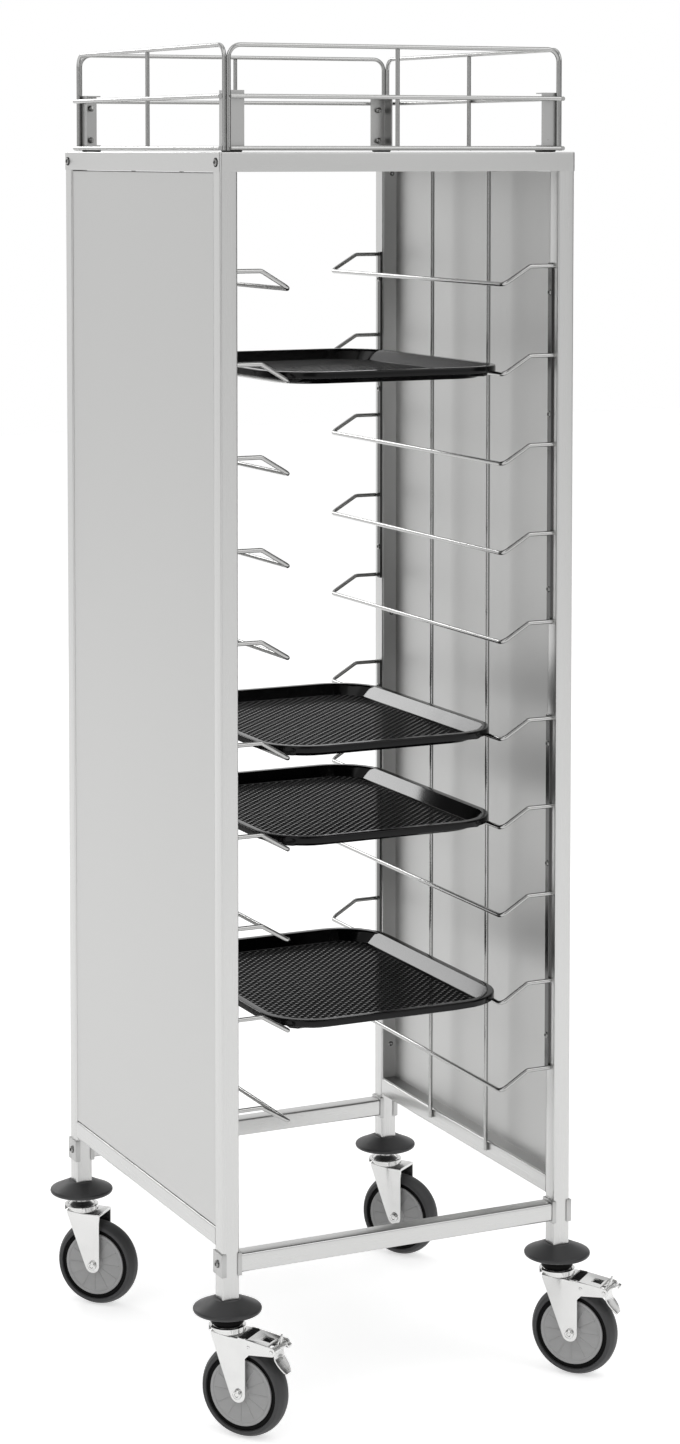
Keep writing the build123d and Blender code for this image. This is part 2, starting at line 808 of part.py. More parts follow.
# Frame
for name, (side, end) in CORNERS.items():
    save(make_post(side, end), f"post_{name}")
for name, end in ENDS.items():
    rail_start = (-inner_x, end * post_y, top_rail_height)
    save(square_tube(rail_start, (1, 0, 0), 2 * inner_x), f"top_rail_{name}")
    rail_start = (saddle_web - inner_x, end * post_y, cross_rail_height)
    save(square_tube(rail_start, (1, 0, 0), 2 * (inner_x - saddle_web)), f"cross_rail_{name}")
for name, side in SIDES.items():
    rail_start = (side * post_x, -inner_y, top_rail_height)
    save(square_tube(rail_start, (0, 1, 0), 2 * inner_y), f"top_rail_{name}")
    rail_start = (side * post_x, -inner_y, side_rail_height)
    save(square_tube(rail_start, (0, 1, 0), 2 * inner_y), f"side_rail_{name}")
    save(make_panel(side), f"side_panel_{name}")
save(make_cover(), "top_cover")
save_group([make_saddle(*corner) for corner in CORNERS.values()], "rail_saddles")
save_group([make_clamp(*corner) for corner in CORNERS.values()], "clamp_plates")
bolt_reach = clamp_web + tube + saddle_web + plug_length
save_group(
    [
        domed_screw(
            (side * (frame_width / 2 + clamp_web), end * post_y, cross_rail_height),
            (side, 0, 0),
            bolt_reach,
            clamp_bolt,
            clamp_head,
            clamp_head_height,
        )
        for side, end in CORNERS.values()
    ],
    "clamp_bolts",
)
save_group(
    [
        domed_screw(
            (side * panel_screw_x, end * (inner_y - panel_sheet), height),
            (0, -end, 0),
            panel_sheet + tube_wall + screw_reach,
        )
        for side, end in CORNERS.values()
        for height in panel_screw_heights
    ],
    "panel_screws",
)
save_group(
    [
        domed_screw(
            (side * (frame_width / 2 + cover_sheet), end * post_y, top_rail_height),
            (side, 0, 0),
            cover_sheet + tube_wall + screw_reach,
            shank=cover_screw,
            head=cover_screw_head,
            height=cover_screw_head_height,
        )
        for side, end in CORNERS.values()
    ],
    "cover_screws",
)

# Support racks and guard rods
for side_name, side in SIDES.items():
    for rack_name, top in rack_tops.items():
        supports = [make_support(side, top - tier_pitch * step) for step in range(tiers_per_rack)]
        bars = [make_bar(side, end, rack_name) for end in ENDS.values()]
        save_group(supports + bars, f"rack_{side_name}_{rack_name}")
save_group(
    [
        domed_screw(
            (side * bar_face, end * bar_y, height),
            (-side, 0, 0),
            bar_thickness + tube_wall + screw_reach,
        )
        for side, end in CORNERS.values()
        for height in all_bar_screw_heights
    ],
    "rack_screws",
)
guard_x = inner_x - wire_radius
save_group(
    [
        straight_wire(
            (side * guard_x, end * guard_spacing / 2, side_rail_height),
            (side * guard_x, end * guard_spacing / 2, top_rail_height),
        )
        for side, end in CORNERS.values()
    ],
    "guard_rods",
)

# Gallery
for name, end in ENDS.items():
    save_group(
        make_gallery_panel((1, 0, 0), (0, end * gallery_end_y, 0), gallery_end_upright_x),
        f"gallery_{name}",
    )
for name, side in SIDES.items():
    save_group(
        make_gallery_panel((0, 1, 0), (side * gallery_side_x, 0, 0), gallery_side_upright_y),
        f"gallery_{name}",
    )
save_group([make_bracket(*corner) for corner in CORNERS.values()], "gallery_brackets")
save_group([make_pad(*corner) for corner in CORNERS.values()], "bracket_pads")
save_group(
    [
        make_stud_nut(side, end, height)
        for side, end in CORNERS.values()
        for height in bracket_stud_heights
    ],
    "bracket_nuts",
)

# Casters
casters = {name: Caster(name) for name in CORNERS}
save_group([make_stem(caster) for caster in casters.values()], "caster_stems")
for name, caster in casters.items():
    save_group(make_bumper(caster), f"bumper_{name}")
    save(make_fork(caster), f"fork_{name}")
    save(make_axle(caster), f"axle_{name}")
    save(make_wheel(caster), f"wheel_{name}")
    save(make_tyre(caster), f"tyre_{name}")
    if caster.braked:
        save(make_pedal(caster), f"brake_pedal_{name}")

# Trays
for tier, front_inset in TRAY_PLACES.items():
    save(make_tray(tier_heights[tier - 1], front_inset), f"tray_tier_{tier}")
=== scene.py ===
"""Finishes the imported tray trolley: bent wire, folded sheet, moulded trays and detailed casters."""

import json
from math import cos, pi, radians, sin, tan

import bmesh
import bpy
from mathutils import Matrix, Vector


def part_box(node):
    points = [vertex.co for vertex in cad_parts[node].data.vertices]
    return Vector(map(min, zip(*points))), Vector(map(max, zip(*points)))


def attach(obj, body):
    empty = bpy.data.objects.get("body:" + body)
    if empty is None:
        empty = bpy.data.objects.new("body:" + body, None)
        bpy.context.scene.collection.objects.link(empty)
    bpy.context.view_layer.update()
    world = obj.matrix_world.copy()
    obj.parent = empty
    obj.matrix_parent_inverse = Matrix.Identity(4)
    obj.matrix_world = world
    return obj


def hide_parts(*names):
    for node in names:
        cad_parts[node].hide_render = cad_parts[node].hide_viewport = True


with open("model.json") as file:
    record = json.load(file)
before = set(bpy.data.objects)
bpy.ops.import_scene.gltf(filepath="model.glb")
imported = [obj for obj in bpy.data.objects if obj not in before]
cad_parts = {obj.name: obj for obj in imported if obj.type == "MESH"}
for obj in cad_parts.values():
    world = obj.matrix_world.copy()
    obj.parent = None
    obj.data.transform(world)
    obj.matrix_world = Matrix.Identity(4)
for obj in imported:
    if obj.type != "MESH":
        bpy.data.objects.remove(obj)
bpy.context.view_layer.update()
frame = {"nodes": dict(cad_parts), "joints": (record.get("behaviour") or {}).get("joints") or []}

bl_info = {
    "name": "Tray Trolley",
    "version": (1, 0, 0),
    "blender": (4, 5, 0),
    "location": "3D View > Sidebar > Trolley",
    "description": "Dresses a packed tray trolley with finished metal, rubber and plastic pieces",
    "category": "Object",
}

MM = 0.001
UP = Vector((0, 0, 1))
SIDES = {"left": -1, "right": 1}
ENDS = {"front": -1, "rear": 1}
CORNERS = {f"{end}_{side}": (SIDES[side], ENDS[end]) for end in ENDS for side in SIDES}
BRAKED = ("front_left", "front_right")
FRAME_BODY = "frame"
ROUND_STEPS = 96
SMOOTH_ANGLE = radians(32)
EASED_ANGLE = radians(35)
DOUBLED = 0.001 * MM  # vertices of a skin this near are one
CAD_DOUBLED = 0.002 * MM  # and so are those of a CAD node
LEVEL = 0.01 * MM  # points this near in height are level
LEAST_BEND = 0.2 * MM
CHEEK = 22 * MM  # the middle of a fork to a cheek's outer face

joints = {joint["name"]: joint for joint in frame["joints"]}
trays = sorted(name for name in frame["nodes"] if name.startswith("tray_tier_"))


def linear(hex_colour):
    """An sRGB hex colour as linear red, green, blue and alpha."""
    channels = [int(hex_colour[place : place + 2], 16) / 255 for place in (1, 3, 5)]
    return tuple(c / 12.92 if c <= 0.04045 else ((c + 0.055) / 1.055) ** 2.4 for c in channels) + (1.0,)


def length(name, description, millimetres):
    """A length that a user may change."""
    return bpy.props.FloatProperty(
        name=name, description=description, default=millimetres * MM, min=0.0, unit="LENGTH", precision=5
    )


def colour(name, description, hex_colour):
    """A colour that a user may change."""
    limits = {"size": 4, "min": 0.0, "max": 1.0, "subtype": "COLOR"}
    return bpy.props.FloatVectorProperty(
        name=name, description=description, default=linear(hex_colour), **limits
    )


class TrolleySizes(bpy.types.PropertyGroup):
    """Sizes that the frame's boxes don't give."""

    tube_wall: length("Tube wall", "Wall of the square tube", 1.5)
    tube_corner: length("Tube corner", "Outer corner radius of the square tube", 2.8)
    sheet: length("Sheet", "Sheet of the deck and the side panels", 1.0)
    deck_fold: length("Deck fold", "Outer radius of the deck's folded edge", 1.6)
    panel_fold: length("Panel fold", "Outer radius of a side panel's folds", 1.3)
    panel_gap: length("Panel gap", "Shadow gap between a side panel and the posts and rails", 1.0)
    edge: length("Eased edge", "Width of the eased edge on cut steel", 0.4)
    wire: length("Wire", "Diameter of every round wire", 6.0)
    rack_bend: length("Rack bend", "Bend radius of the tray supports", 9.0)
    tier_pitch: length("Tier pitch", "Height between two tiers of one rack", 123.0)
    bar_overhang: length("Bar overhang", "Flat bar above the first tier's wire", 4.0)
    bar_width: length("Bar width", "Width of a rack's flat bar", 10.0)
    shoulder_spacing: length("Shoulder spacing", "Between the bends of one tier", 404.0)
    run_drop: length("Run drop", "Long runs below the wires' ends", 24.5)
    guard_spacing: length("Guard spacing", "Between the two rods of one side", 174.0)
    gallery_bend: length("Gallery bend", "Bend radius of the gallery's frames", 17.0)
    gallery_middle: length("Gallery middle", "Foot rail to middle rail", 68.0)
    bracket_wing: length("Bracket wing", "Width of a gallery bracket's wing", 25.0)
    bracket_sheet: length("Bracket sheet", "Sheet of the gallery's brackets", 1.5)
    bracket_chamfer: length("Bracket corner", "Cut at a bracket's free corner", 8.0)
    weld: length("Weld bead", "Radius of a weld bead", 2.1)
    screw_head: length("Screw head", "Diameter of a small button head", 8.6)
    deck_screw_head: length("Deck screw head", "Diameter of the deck's button heads", 11.8)
    bolt_head: length("Bolt head", "Diameter of a clamp bolt's head", 10.5)
    nut: length("Nut", "Across the flats of a domed nut", 8.0)
    tray_lip: length("Tray lip", "Height of the rim's outer face", 9.0)
    tray_sheet: length("Tray wall", "Wall of a tray", 2.5)
    tray_corner: length("Tray corner", "Corner radius of the rim", 77.0)
    tray_rim: length("Tray rim", "Rim to the slope of the underside", 9.7)
    tray_slope: length("Tray slope", "Plan width of the sloping wall", 16.0)
    facet: length("Stacking facet", "Leg of the facet at a tray's corner, at the rim", 39.0)
    pip: length("Pip spacing", "One square of the chequer of pips on a tray's floor", 6.4)
    bumper_top: length("Bumper top", "Diameter of the bumper's top face", 38.0)
    tyre_width: length("Tyre width", "Width over the tread", 30.0)
    disc: length("Wheel disc", "Diameter of the wheel's centre", 91.0)
    fork_crease: length("Fork crease", "Swivel axis to the crease of the fork's cheek", 14.5)


class TrolleyColours(bpy.types.PropertyGroup):
    """Base colours of the finishes."""

    steel: colour("Stainless steel", "Brushed tube and sheet", "#C8C8C7")
    wire: colour("Bright wire", "Electropolished wire", "#B0B0AF")
    zinc: colour("Zinc plate", "Forks, stems and pedals", "#D8D8D7")
    # painted shade: the screws, bolts and nuts are darker than the steel, so that their heads read with a
    # dark ring
    fastener: colour("Fasteners", "Screws, bolts and nuts", "#8C8C8B")
    tray: colour("Tray", "Moulded tray", "#060607")
    bumper: colour("Bumper", "Bumper discs", "#333334")
    tyre: colour("Tyre", "Grey rubber of the tread", "#3C3C3D")
    groove: colour("Groove", "Black ring inside the tread", "#060606")
    disc: colour("Wheel disc", "Moulded wheel centre", "#B0B0B0")
    floor: colour("Floor", "Studio floor", "#F4F4F4")


def add(tree, kind, inputs=None, **settings):
    """One node with its settings, and its inputs linked or given a value."""
    node = tree.nodes.new(kind)
    for name, value in settings.items():
        setattr(node, name, value)
    for key, value in (inputs or {}).items():
        if isinstance(value, bpy.types.NodeSocket):
            tree.links.new(value, node.inputs[key])
        else:
            node.inputs[key].default_value = value
    return node


def number(tree, operation, *values):
    """What one Math node makes of its values."""
    return add(tree, "ShaderNodeMath", dict(enumerate(values)), operation=operation).outputs[0]


def new_material(name, base, **numbers):
    """A material with its tree and its one shader, whose plain values are set."""
    material = bpy.data.materials.new(name)
    material.use_nodes = True
    shader = material.node_tree.nodes["Principled BSDF"]
    shader.inputs["Base Color"].default_value = base
    for key, value in numbers.items():
        shader.inputs[key.replace("_", " ").title()].default_value = value
    return material, material.node_tree, shader


def shade_of(base, factor):
    """The same colour, darker or lighter."""
    return tuple(min(1.0, channel * factor) for channel in base[:3]) + (1.0,)


def noise(tree, sizes, detail=2.0, roughness=0.5):
    """A noise value whose features have these sizes in metres along X, Y and Z."""
    place = add(tree, "ShaderNodeTexCoord").outputs["Object"]
    scale = [1 / size for size in sizes]
    mapping = add(tree, "ShaderNodeMapping", {"Vector": place, "Scale": scale})
    inputs = {"Vector": mapping.outputs[0], "Scale": 1.0, "Detail": detail, "Roughness": roughness}
    return add(tree, "ShaderNodeTexNoise", inputs).outputs["Fac"]


def spread(tree, value, low, high, start=0.25, end=0.75):
    """The value's usual range spread between low and high."""
    inputs = {"Value": value, "From Min": start, "From Max": end, "To Min": low, "To Max": high}
    return add(tree, "ShaderNodeMapRange", inputs).outputs["Result"]


def mottle(tree, shader, value, roughness, base=None, shades=None):
    """Roughness that a value varies, and with shades the base colour too, from darker to lighter."""
    tree.links.new(spread(tree, value, *roughness), shader.inputs["Roughness"])
    if shades:
        dark, light = [shade_of(base, shade) for shade in shades]
        inputs = {"Factor": spread(tree, value, 0.0, 1.0), 6: dark, 7: light}
        mixed = add(tree, "ShaderNodeMix", inputs, data_type="RGBA")
        tree.links.new(mixed.outputs[2], shader.inputs["Base Color"])


def relief(tree, shader, size, detail, depth, strength):
    """A bump of this depth over a fine skin, whose features have this size."""
    skin = noise(tree, [size] * 3, detail=detail)
    bump = add(tree, "ShaderNodeBump", {"Height": skin, "Distance": depth, "Strength": strength})
    tree.links.new(bump.outputs[0], shader.inputs["Normal"])


def brushed_stainless(name, base, grain, low=0.26, high=0.32):
    """Austenitic stainless steel, brushed by a belt along the grain: soft, drawn-out reflections.

    The real scratches are 0.05 mm apart and are drawn ten times as coarse, so that they show.
    """
    scratch, drawn = 0.5 * MM, 120 * MM
    material, tree, shader = new_material(name, base, metallic=1.0)
    streaks = noise(tree, [drawn if axis == grain else scratch for axis in "XYZ"])
    mottle(tree, shader, streaks, (low, high), base, (0.985, 1.012))
    return material


def polished_wire(name, base):
    """Drawn stainless wire, electropolished after welding: bright, with slow drawing waves."""
    material, tree, shader = new_material(name, base, metallic=1.0)
    mottle(tree, shader, noise(tree, [60 * MM] * 3, detail=1.0), (0.18, 0.24))
    return material


def bright_zinc(name, base):
    """Pressed mild steel with a bright zinc plate: near white, with a faint milky bloom."""
    material, tree, shader = new_material(name, base, metallic=1.0)
    mottle(tree, shader, noise(tree, [26 * MM] * 3), (0.16, 0.24), base, (0.95, 1.02))
    return material


def moulded_rubber(name, base, low, high, gloss=0.5):
    """Moulded rubber with a fine spark-eroded skin and a slight grey bloom."""
    material, tree, shader = new_material(name, base, metallic=0.0)
    shader.inputs["Specular IOR Level"].default_value = gloss
    bloom = noise(tree, [25 * MM] * 3, detail=4.0, roughness=0.6)
    mottle(tree, shader, bloom, (low, high), base, (0.9, 1.08))
    relief(tree, shader, 0.7 * MM, 2.0, 0.04 * MM, 0.25)
    return material


def moulded_polypropylene(name, base):
    """Grey injection-moulded polypropylene: an even tone with faint flow marks."""
    material, tree, shader = new_material(name, base, metallic=0.0)
    flow = noise(tree, [30 * MM, 30 * MM, 8 * MM], detail=3.0)
    mottle(tree, shader, flow, (0.42, 0.52), base, (0.95, 1.04))
    relief(tree, shader, 0.5 * MM, 1.0, 0.03 * MM, 0.2)
    return material


def glossy_tray(name, base):
    """Black polypropylene: polished walls and rim, an eroded floor and brighter, worn pips on it.

    The attribute pressed is 1 on the floor and the attribute raised is 1 on the pips.
    """
    material, tree, shader = new_material(name, base, metallic=0.0)
    polished = spread(tree, noise(tree, [70 * MM] * 3), 0.1, 0.14)
    floor = add(tree, "ShaderNodeAttribute", attribute_name="pressed").outputs["Fac"]
    pips = add(tree, "ShaderNodeAttribute", attribute_name="raised").outputs["Fac"]
    rough = number(tree, "ADD", polished, number(tree, "MULTIPLY", floor, 0.4))
    tree.links.new(rough, shader.inputs["Roughness"])
    level = number(tree, "ADD", number(tree, "MULTIPLY", floor, -0.2), 0.22)
    level = number(tree, "ADD", level, number(tree, "MULTIPLY", pips, 0.6))
    tree.links.new(level, shader.inputs["Specular IOR Level"])
    return material


def seen_rays(tree):
    """1 for the rays that show a background: the camera's own, glossy ones and those through glass."""
    path = add(tree, "ShaderNodeLightPath").outputs
    mirrored = number(tree, "MAXIMUM", path["Is Camera Ray"], path["Is Glossy Ray"])
    return number(tree, "MAXIMUM", mirrored, path["Is Transmission Ray"])


def studio_floor(name, base, lift):
    """Pale matt floor. The camera, metal and glass see it a little brighter, with its shadow kept."""
    material, tree, shader = new_material(name, base, metallic=0.0, roughness=0.9)
    glow = add(tree, "ShaderNodeEmission", {"Strength": number(tree, "MULTIPLY", seen_rays(tree), lift)})
    both = add(tree, "ShaderNodeAddShader", {0: shader.outputs[0], 1: glow.outputs[0]})
    tree.links.new(both.outputs[0], tree.nodes["Material Output"].inputs["Surface"])
    return material


def finish(name):
    """The material of this name, made when it is first asked for."""
    if name in bpy.data.materials:
        return bpy.data.materials[name]
    colours = bpy.context.scene.trolley_colours
    steel, black = colours.steel, colours.groove
    makers = {
        "stainless tube upright": (brushed_stainless, steel, "Z"),
        "stainless tube across": (brushed_stainless, steel, "X"),
        "stainless tube deep": (brushed_stainless, steel, "Y"),
        "stainless deck sheet": (brushed_stainless, steel, "X", 0.3, 0.36),
        "stainless panel sheet": (brushed_stainless, steel, "Z", 0.42, 0.48),
        # painted shade: the flat bars take a fifth of the steel's colour, so that they read black beside the
        # posts
        "stainless flat bar": (brushed_stainless, shade_of(steel, 0.2), "Z", 0.2, 0.26),
        # painted shade: the cradles, clamp channels and brackets take 0.8 of the steel's colour, so that
        # they read darker than the tube
        "stainless plate": (brushed_stainless, shade_of(steel, 0.8), "Z", 0.3, 0.36),
        "electropolished wire": (polished_wire, colours.wire),
        "bright zinc plate": (bright_zinc, colours.zinc),
        # painted shade: the fasteners' darker colour stands in for the dark reflections round their heads
        "stainless fastener": (polished_wire, colours.fastener),
        "bumper rubber": (moulded_rubber, colours.bumper, 0.38, 0.5),
        "foot rubber": (moulded_rubber, black, 0.5, 0.6),
        "tyre rubber": (moulded_rubber, colours.tyre, 0.48, 0.6),
        "black moulded ring": (moulded_rubber, black, 0.5, 0.6, 0.1),
        "moulded wheel disc": (moulded_polypropylene, colours.disc),
        "glossy tray plastic": (glossy_tray, colours.tray),
    }
    maker, *values = makers[name]
    return maker(name, *values)


def rounded_rectangle(half_x, half_y, radius, steps=6, chamfered=False):
    """Points of a rectangle with rounded or chamfered corners, anticlockwise from the +X side."""
    points = []
    for quarter in range(4):
        centre_x = (half_x - radius) * (1 if quarter in (0, 3) else -1)
        centre_y = (half_y - radius) * (1 if quarter in (0, 1) else -1)
        first = Vector((cos(quarter * pi / 2), sin(quarter * pi / 2)))
        last = Vector((cos((quarter + 1) * pi / 2), sin((quarter + 1) * pi / 2)))
        for step in range(steps + 1):
            angle = (quarter + step / steps) * pi / 2
            way = first.lerp(last, step / steps) if chamfered else Vector((cos(angle), sin(angle)))
            points.append((centre_x + radius * way.x, centre_y + radius * way.y))
    return points


def rounded_profile(corners, steps=4):
    """A profile through corners given as (x, y, radius), each rounded by its radius."""
    profile = []
    for index, (x, y, radius) in enumerate(corners):
        here = Vector((x, y))
        if radius == 0:
            profile.append(here)
            continue
        before = (Vector(corners[index - 1][:2]) - here).normalized()
        after = (Vector(corners[(index + 1) % len(corners)][:2]) - here).normalized()
        half = before.angle(after) / 2
        centre = here + (before + after).normalized() * (radius / sin(half))
        first = here + before * (radius / tan(half)) - centre
        last = here + after * (radius / tan(half)) - centre
        for step in range(steps + 1):
            profile.append(centre + first.lerp(last, step / steps).normalized() * radius)
    return profile


def loft(rings, start_cap=False, end_cap=False, wrap=False):
    """Points and faces of a skin over closed rings of as many points each."""
    count = len(rings[0])
    points = [Vector(point) for ring in rings for point in ring]
    faces = []
    for ring in range(len(rings) if wrap else len(rings) - 1):
        here, there = ring * count, (ring + 1) % len(rings) * count
        for step in range(count):
            after = (step + 1) % count
            faces.append((here + step, here + after, there + after, there + step))
    if start_cap:
        faces.append(tuple(reversed(range(count))))
    if end_cap:
        faces.append(tuple(range(len(points) - count, len(points))))
    return points, faces
def solid(rings):
    """A skin over rings, closed at both ends."""
    return loft(rings, start_cap=True, end_cap=True)


def pan_skin(rings, level, wrap=True):
    """A skin over rings, with two flat faces in the place of the band that follows a level."""
    count = len(rings[0])
    points, faces = loft(rings, wrap=wrap)
    faces = [face for face in faces if min(face) // count != level]
    for floor in (level, level + 1):
        faces.append(tuple(floor * count + step for step in range(count)))
    return points, faces


def level_ring(half_x, half_y, corner, z, middle=(0, 0, 0), steps=6, chamfered=False):
    """A rounded rectangle as a level ring of points."""
    outline = rounded_rectangle(half_x, half_y, corner, steps, chamfered)
    return [Vector((middle[0] + x, middle[1] + y, z)) for x, y in outline]


def round_ring(reach, z, steps=24, hexagon=False):
    """A level ring round the Z axis. A hexagon reaches this far to its flats."""
    ring = []
    for step in range(steps):
        angle = 2 * pi * step / steps
        inside = (angle + pi / 6) % (pi / 3) - pi / 6
        out = reach / cos(inside) if hexagon else reach
        ring.append(Vector((out * cos(angle), out * sin(angle), z)))
    return ring


def mirrored(half):
    """The corners of half a profile, and their mirror images below."""
    return half + [(r, -z, radius) for r, z, radius in reversed(half)]


def rod(radius, half, ease):
    """The profile of a round rod with eased ends."""
    return rounded_profile([(0, -half, 0), (radius, -half, ease), (radius, half, ease), (0, half, 0)])

def turned(profile, place, steps=ROUND_STEPS):
    """A skin turned from a profile of (radius, height), round the Z axis of a place."""
    rings = []
    for step in range(steps):
        angle = 2 * pi * step / steps
        rings.append([place @ Vector((r * cos(angle), r * sin(angle), z)) for r, z in profile])
    return loft(rings, wrap=True)


def linked(name, data):
    """A new object in the scene."""
    made = bpy.data.objects.new(name, data)
    bpy.context.scene.collection.objects.link(made)
    return made


def piece(name, skins, material, angle=SMOOTH_ANGLE):
    """One object of closed skins, with its place in its mesh and its faces pointing outwards."""
    points, faces = [], []
    for skin_points, skin_faces in skins:
        start = len(points)
        points += skin_points
        faces += [tuple(start + corner for corner in face) for face in skin_faces]
    mesh = bpy.data.meshes.new(name)
    mesh.from_pydata(points, [], faces)
    shaped = bmesh.new()
    shaped.from_mesh(mesh)
    bmesh.ops.remove_doubles(shaped, verts=shaped.verts, dist=DOUBLED)
    bmesh.ops.recalc_face_normals(shaped, faces=shaped.faces)
    shaped.to_mesh(mesh)
    shaped.free()
    mesh.materials.append(finish(material))
    made = linked(name, mesh)
    smooth(made, angle)
    return made


def smooth(made, angle=SMOOTH_ANGLE):
    """Smooth shading that stays sharp over edges steeper than the angle."""
    made.data.shade_smooth()
    made.data.set_sharp_from_angle(angle=angle)


def settled(made, body, slot, *stands_for):
    """A finished piece on its body, with the nodes that it stands for hidden. Its slot is not used."""
    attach(made, body)
    if stands_for:
        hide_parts(*stands_for)
    return made


def baked(made, name, angle=SMOOTH_ANGLE):
    """The object's modifiers made into a plain mesh of a new object."""
    graph = bpy.context.evaluated_depsgraph_get()
    mesh = bpy.data.meshes.new_from_object(made.evaluated_get(graph))
    bpy.data.objects.remove(made)
    mesh.name = name
    result = linked(name, mesh)
    smooth(result, angle)
    return result


def joined(pieces, name):
    """Several objects as one, whose meshes already hold their places."""
    target = pieces[0]
    with bpy.context.temp_override(active_object=target, selected_editable_objects=pieces):
        bpy.ops.object.join()
    target.name = name
    target.data.name = name
    return target


def node_mesh(node):
    """A copy of a CAD node's mesh for shaping, with its doubled vertices merged."""
    shaped = bmesh.new()
    shaped.from_mesh(frame["nodes"][node].data)
    bmesh.ops.remove_doubles(shaped, verts=shaped.verts, dist=CAD_DOUBLED)
    return shaped


def eased_copy(node, name, material, width, reshape=None):
    """A copy of a CAD node with its flat faces merged and its edges eased."""
    shaped = node_mesh(node)
    bmesh.ops.dissolve_limit(shaped, angle_limit=radians(0.6), verts=shaped.verts, edges=shaped.edges)
    if reshape:
        reshape(shaped)
    mesh = bpy.data.meshes.new(name)
    shaped.to_mesh(mesh)
    shaped.free()
    mesh.materials.append(finish(material))
    copy = linked(name, mesh)
    bevel = copy.modifiers.new("Eased edges", "BEVEL")
    bevel.width = width
    bevel.segments = 2
    bevel.limit_method = "ANGLE"
    bevel.angle_limit = EASED_ANGLE
    return baked(copy, name)


def new_tree(name, **sockets):
    """A geometry node tree with a geometry input, more named inputs, and a geometry output."""
    tree = bpy.data.node_groups.new(name, "GeometryNodeTree")
    tree.interface.new_socket("Geometry", in_out="INPUT", socket_type="NodeSocketGeometry")
    for key, kind in sockets.items():
        tree.interface.new_socket(key.replace("_", " "), in_out="INPUT", socket_type=f"NodeSocket{kind}")
    tree.interface.new_socket("Geometry", in_out="OUTPUT", socket_type="NodeSocketGeometry")
    return tree, add(tree, "NodeGroupInput").outputs


def close_tree(tree, given, points, part, **turn):
    """Ends a tree in a part copied to points, as real geometry of one material."""
    inputs = {"Points": points, "Instance": part, **turn}
    placed = add(tree, "GeometryNodeInstanceOnPoints", inputs)
    real = add(tree, "GeometryNodeRealizeInstances", {0: placed.outputs[0]})
    inputs = {"Geometry": real.outputs[0], "Material": given["Material"]}
    painted = add(tree, "GeometryNodeSetMaterial", inputs)
    add(tree, "NodeGroupOutput", {0: painted.outputs[0]})
    return tree


def part_of(tree, given):
    """The geometry of the part that a tree copies."""
    return add(tree, "GeometryNodeObjectInfo", {"Object": given["Part"]}).outputs["Geometry"]


def wire_tree(name):
    """Round wire along a path, with its bends, repeated downwards in tiers."""
    sockets = {"Diameter": "Float", "Bend": "Float", "Tiers": "Int", "Pitch": "Float"}
    tree, given = new_tree(name, **sockets, Material="Material")
    radius = number(tree, "MULTIPLY", given["Diameter"], 0.5)
    inputs = {"Curve": given["Geometry"], "Count": 8, "Radius": given["Bend"], "Limit Radius": True}
    bent = add(tree, "GeometryNodeFilletCurve", inputs, mode="POLY")
    section = add(tree, "GeometryNodeCurvePrimitiveCircle", {"Resolution": 20, "Radius": radius})
    inputs = {"Curve": bent.outputs[0], "Profile Curve": section.outputs[0], "Fill Caps": True}
    wire = add(tree, "GeometryNodeCurveToMesh", inputs)
    down = number(tree, "MULTIPLY", given["Pitch"], -1.0)
    step = add(tree, "ShaderNodeCombineXYZ", {"Z": down})
    inputs = {"Count": given["Tiers"], "Offset": step.outputs[0]}
    tiers = add(tree, "GeometryNodeMeshLine", inputs, mode="OFFSET")
    return close_tree(tree, given, tiers.outputs[0], wire.outputs[0])


def scatter_tree(name):
    """Small parts on their seats: each stands along the attribute outward, turned by chance."""
    tree, given = new_tree(name, Part="Object", Turn="Float", Seed="Int", Material="Material")
    part = part_of(tree, given)
    outward = add(tree, "GeometryNodeInputNamedAttribute", {"Name": "outward"}, data_type="FLOAT_VECTOR")
    spin = add(tree, "FunctionNodeRandomValue", {3: given["Turn"], "Seed": given["Seed"]}, data_type="FLOAT")
    about = add(tree, "FunctionNodeAxisAngleToRotation", {"Axis": UP, "Angle": spin.outputs[1]})
    lean = add(tree, "FunctionNodeAlignRotationToVector", {"Vector": outward.outputs[0]}, axis="Z")
    inputs = {0: lean.outputs[0], 1: about.outputs[0]}
    turn = add(tree, "FunctionNodeRotateRotation", inputs, rotation_space="LOCAL")
    return close_tree(tree, given, given["Geometry"], part, Rotation=turn.outputs[0])


def ring_tree(name):
    """Like parts round a circle, each turned to face outwards."""
    tree, given = new_tree(name, Part="Object", Count="Int", Radius="Float", Material="Material")
    part = part_of(tree, given)
    circle = add(tree, "GeometryNodeMeshCircle", {"Vertices": given["Count"], "Radius": given["Radius"]})
    inputs = {"Vector": add(tree, "GeometryNodeInputPosition").outputs[0]}
    turn = add(tree, "FunctionNodeAlignRotationToVector", inputs, axis="X", pivot_axis="Z")
    return close_tree(tree, given, circle.outputs[0], part, Rotation=turn.outputs[0])


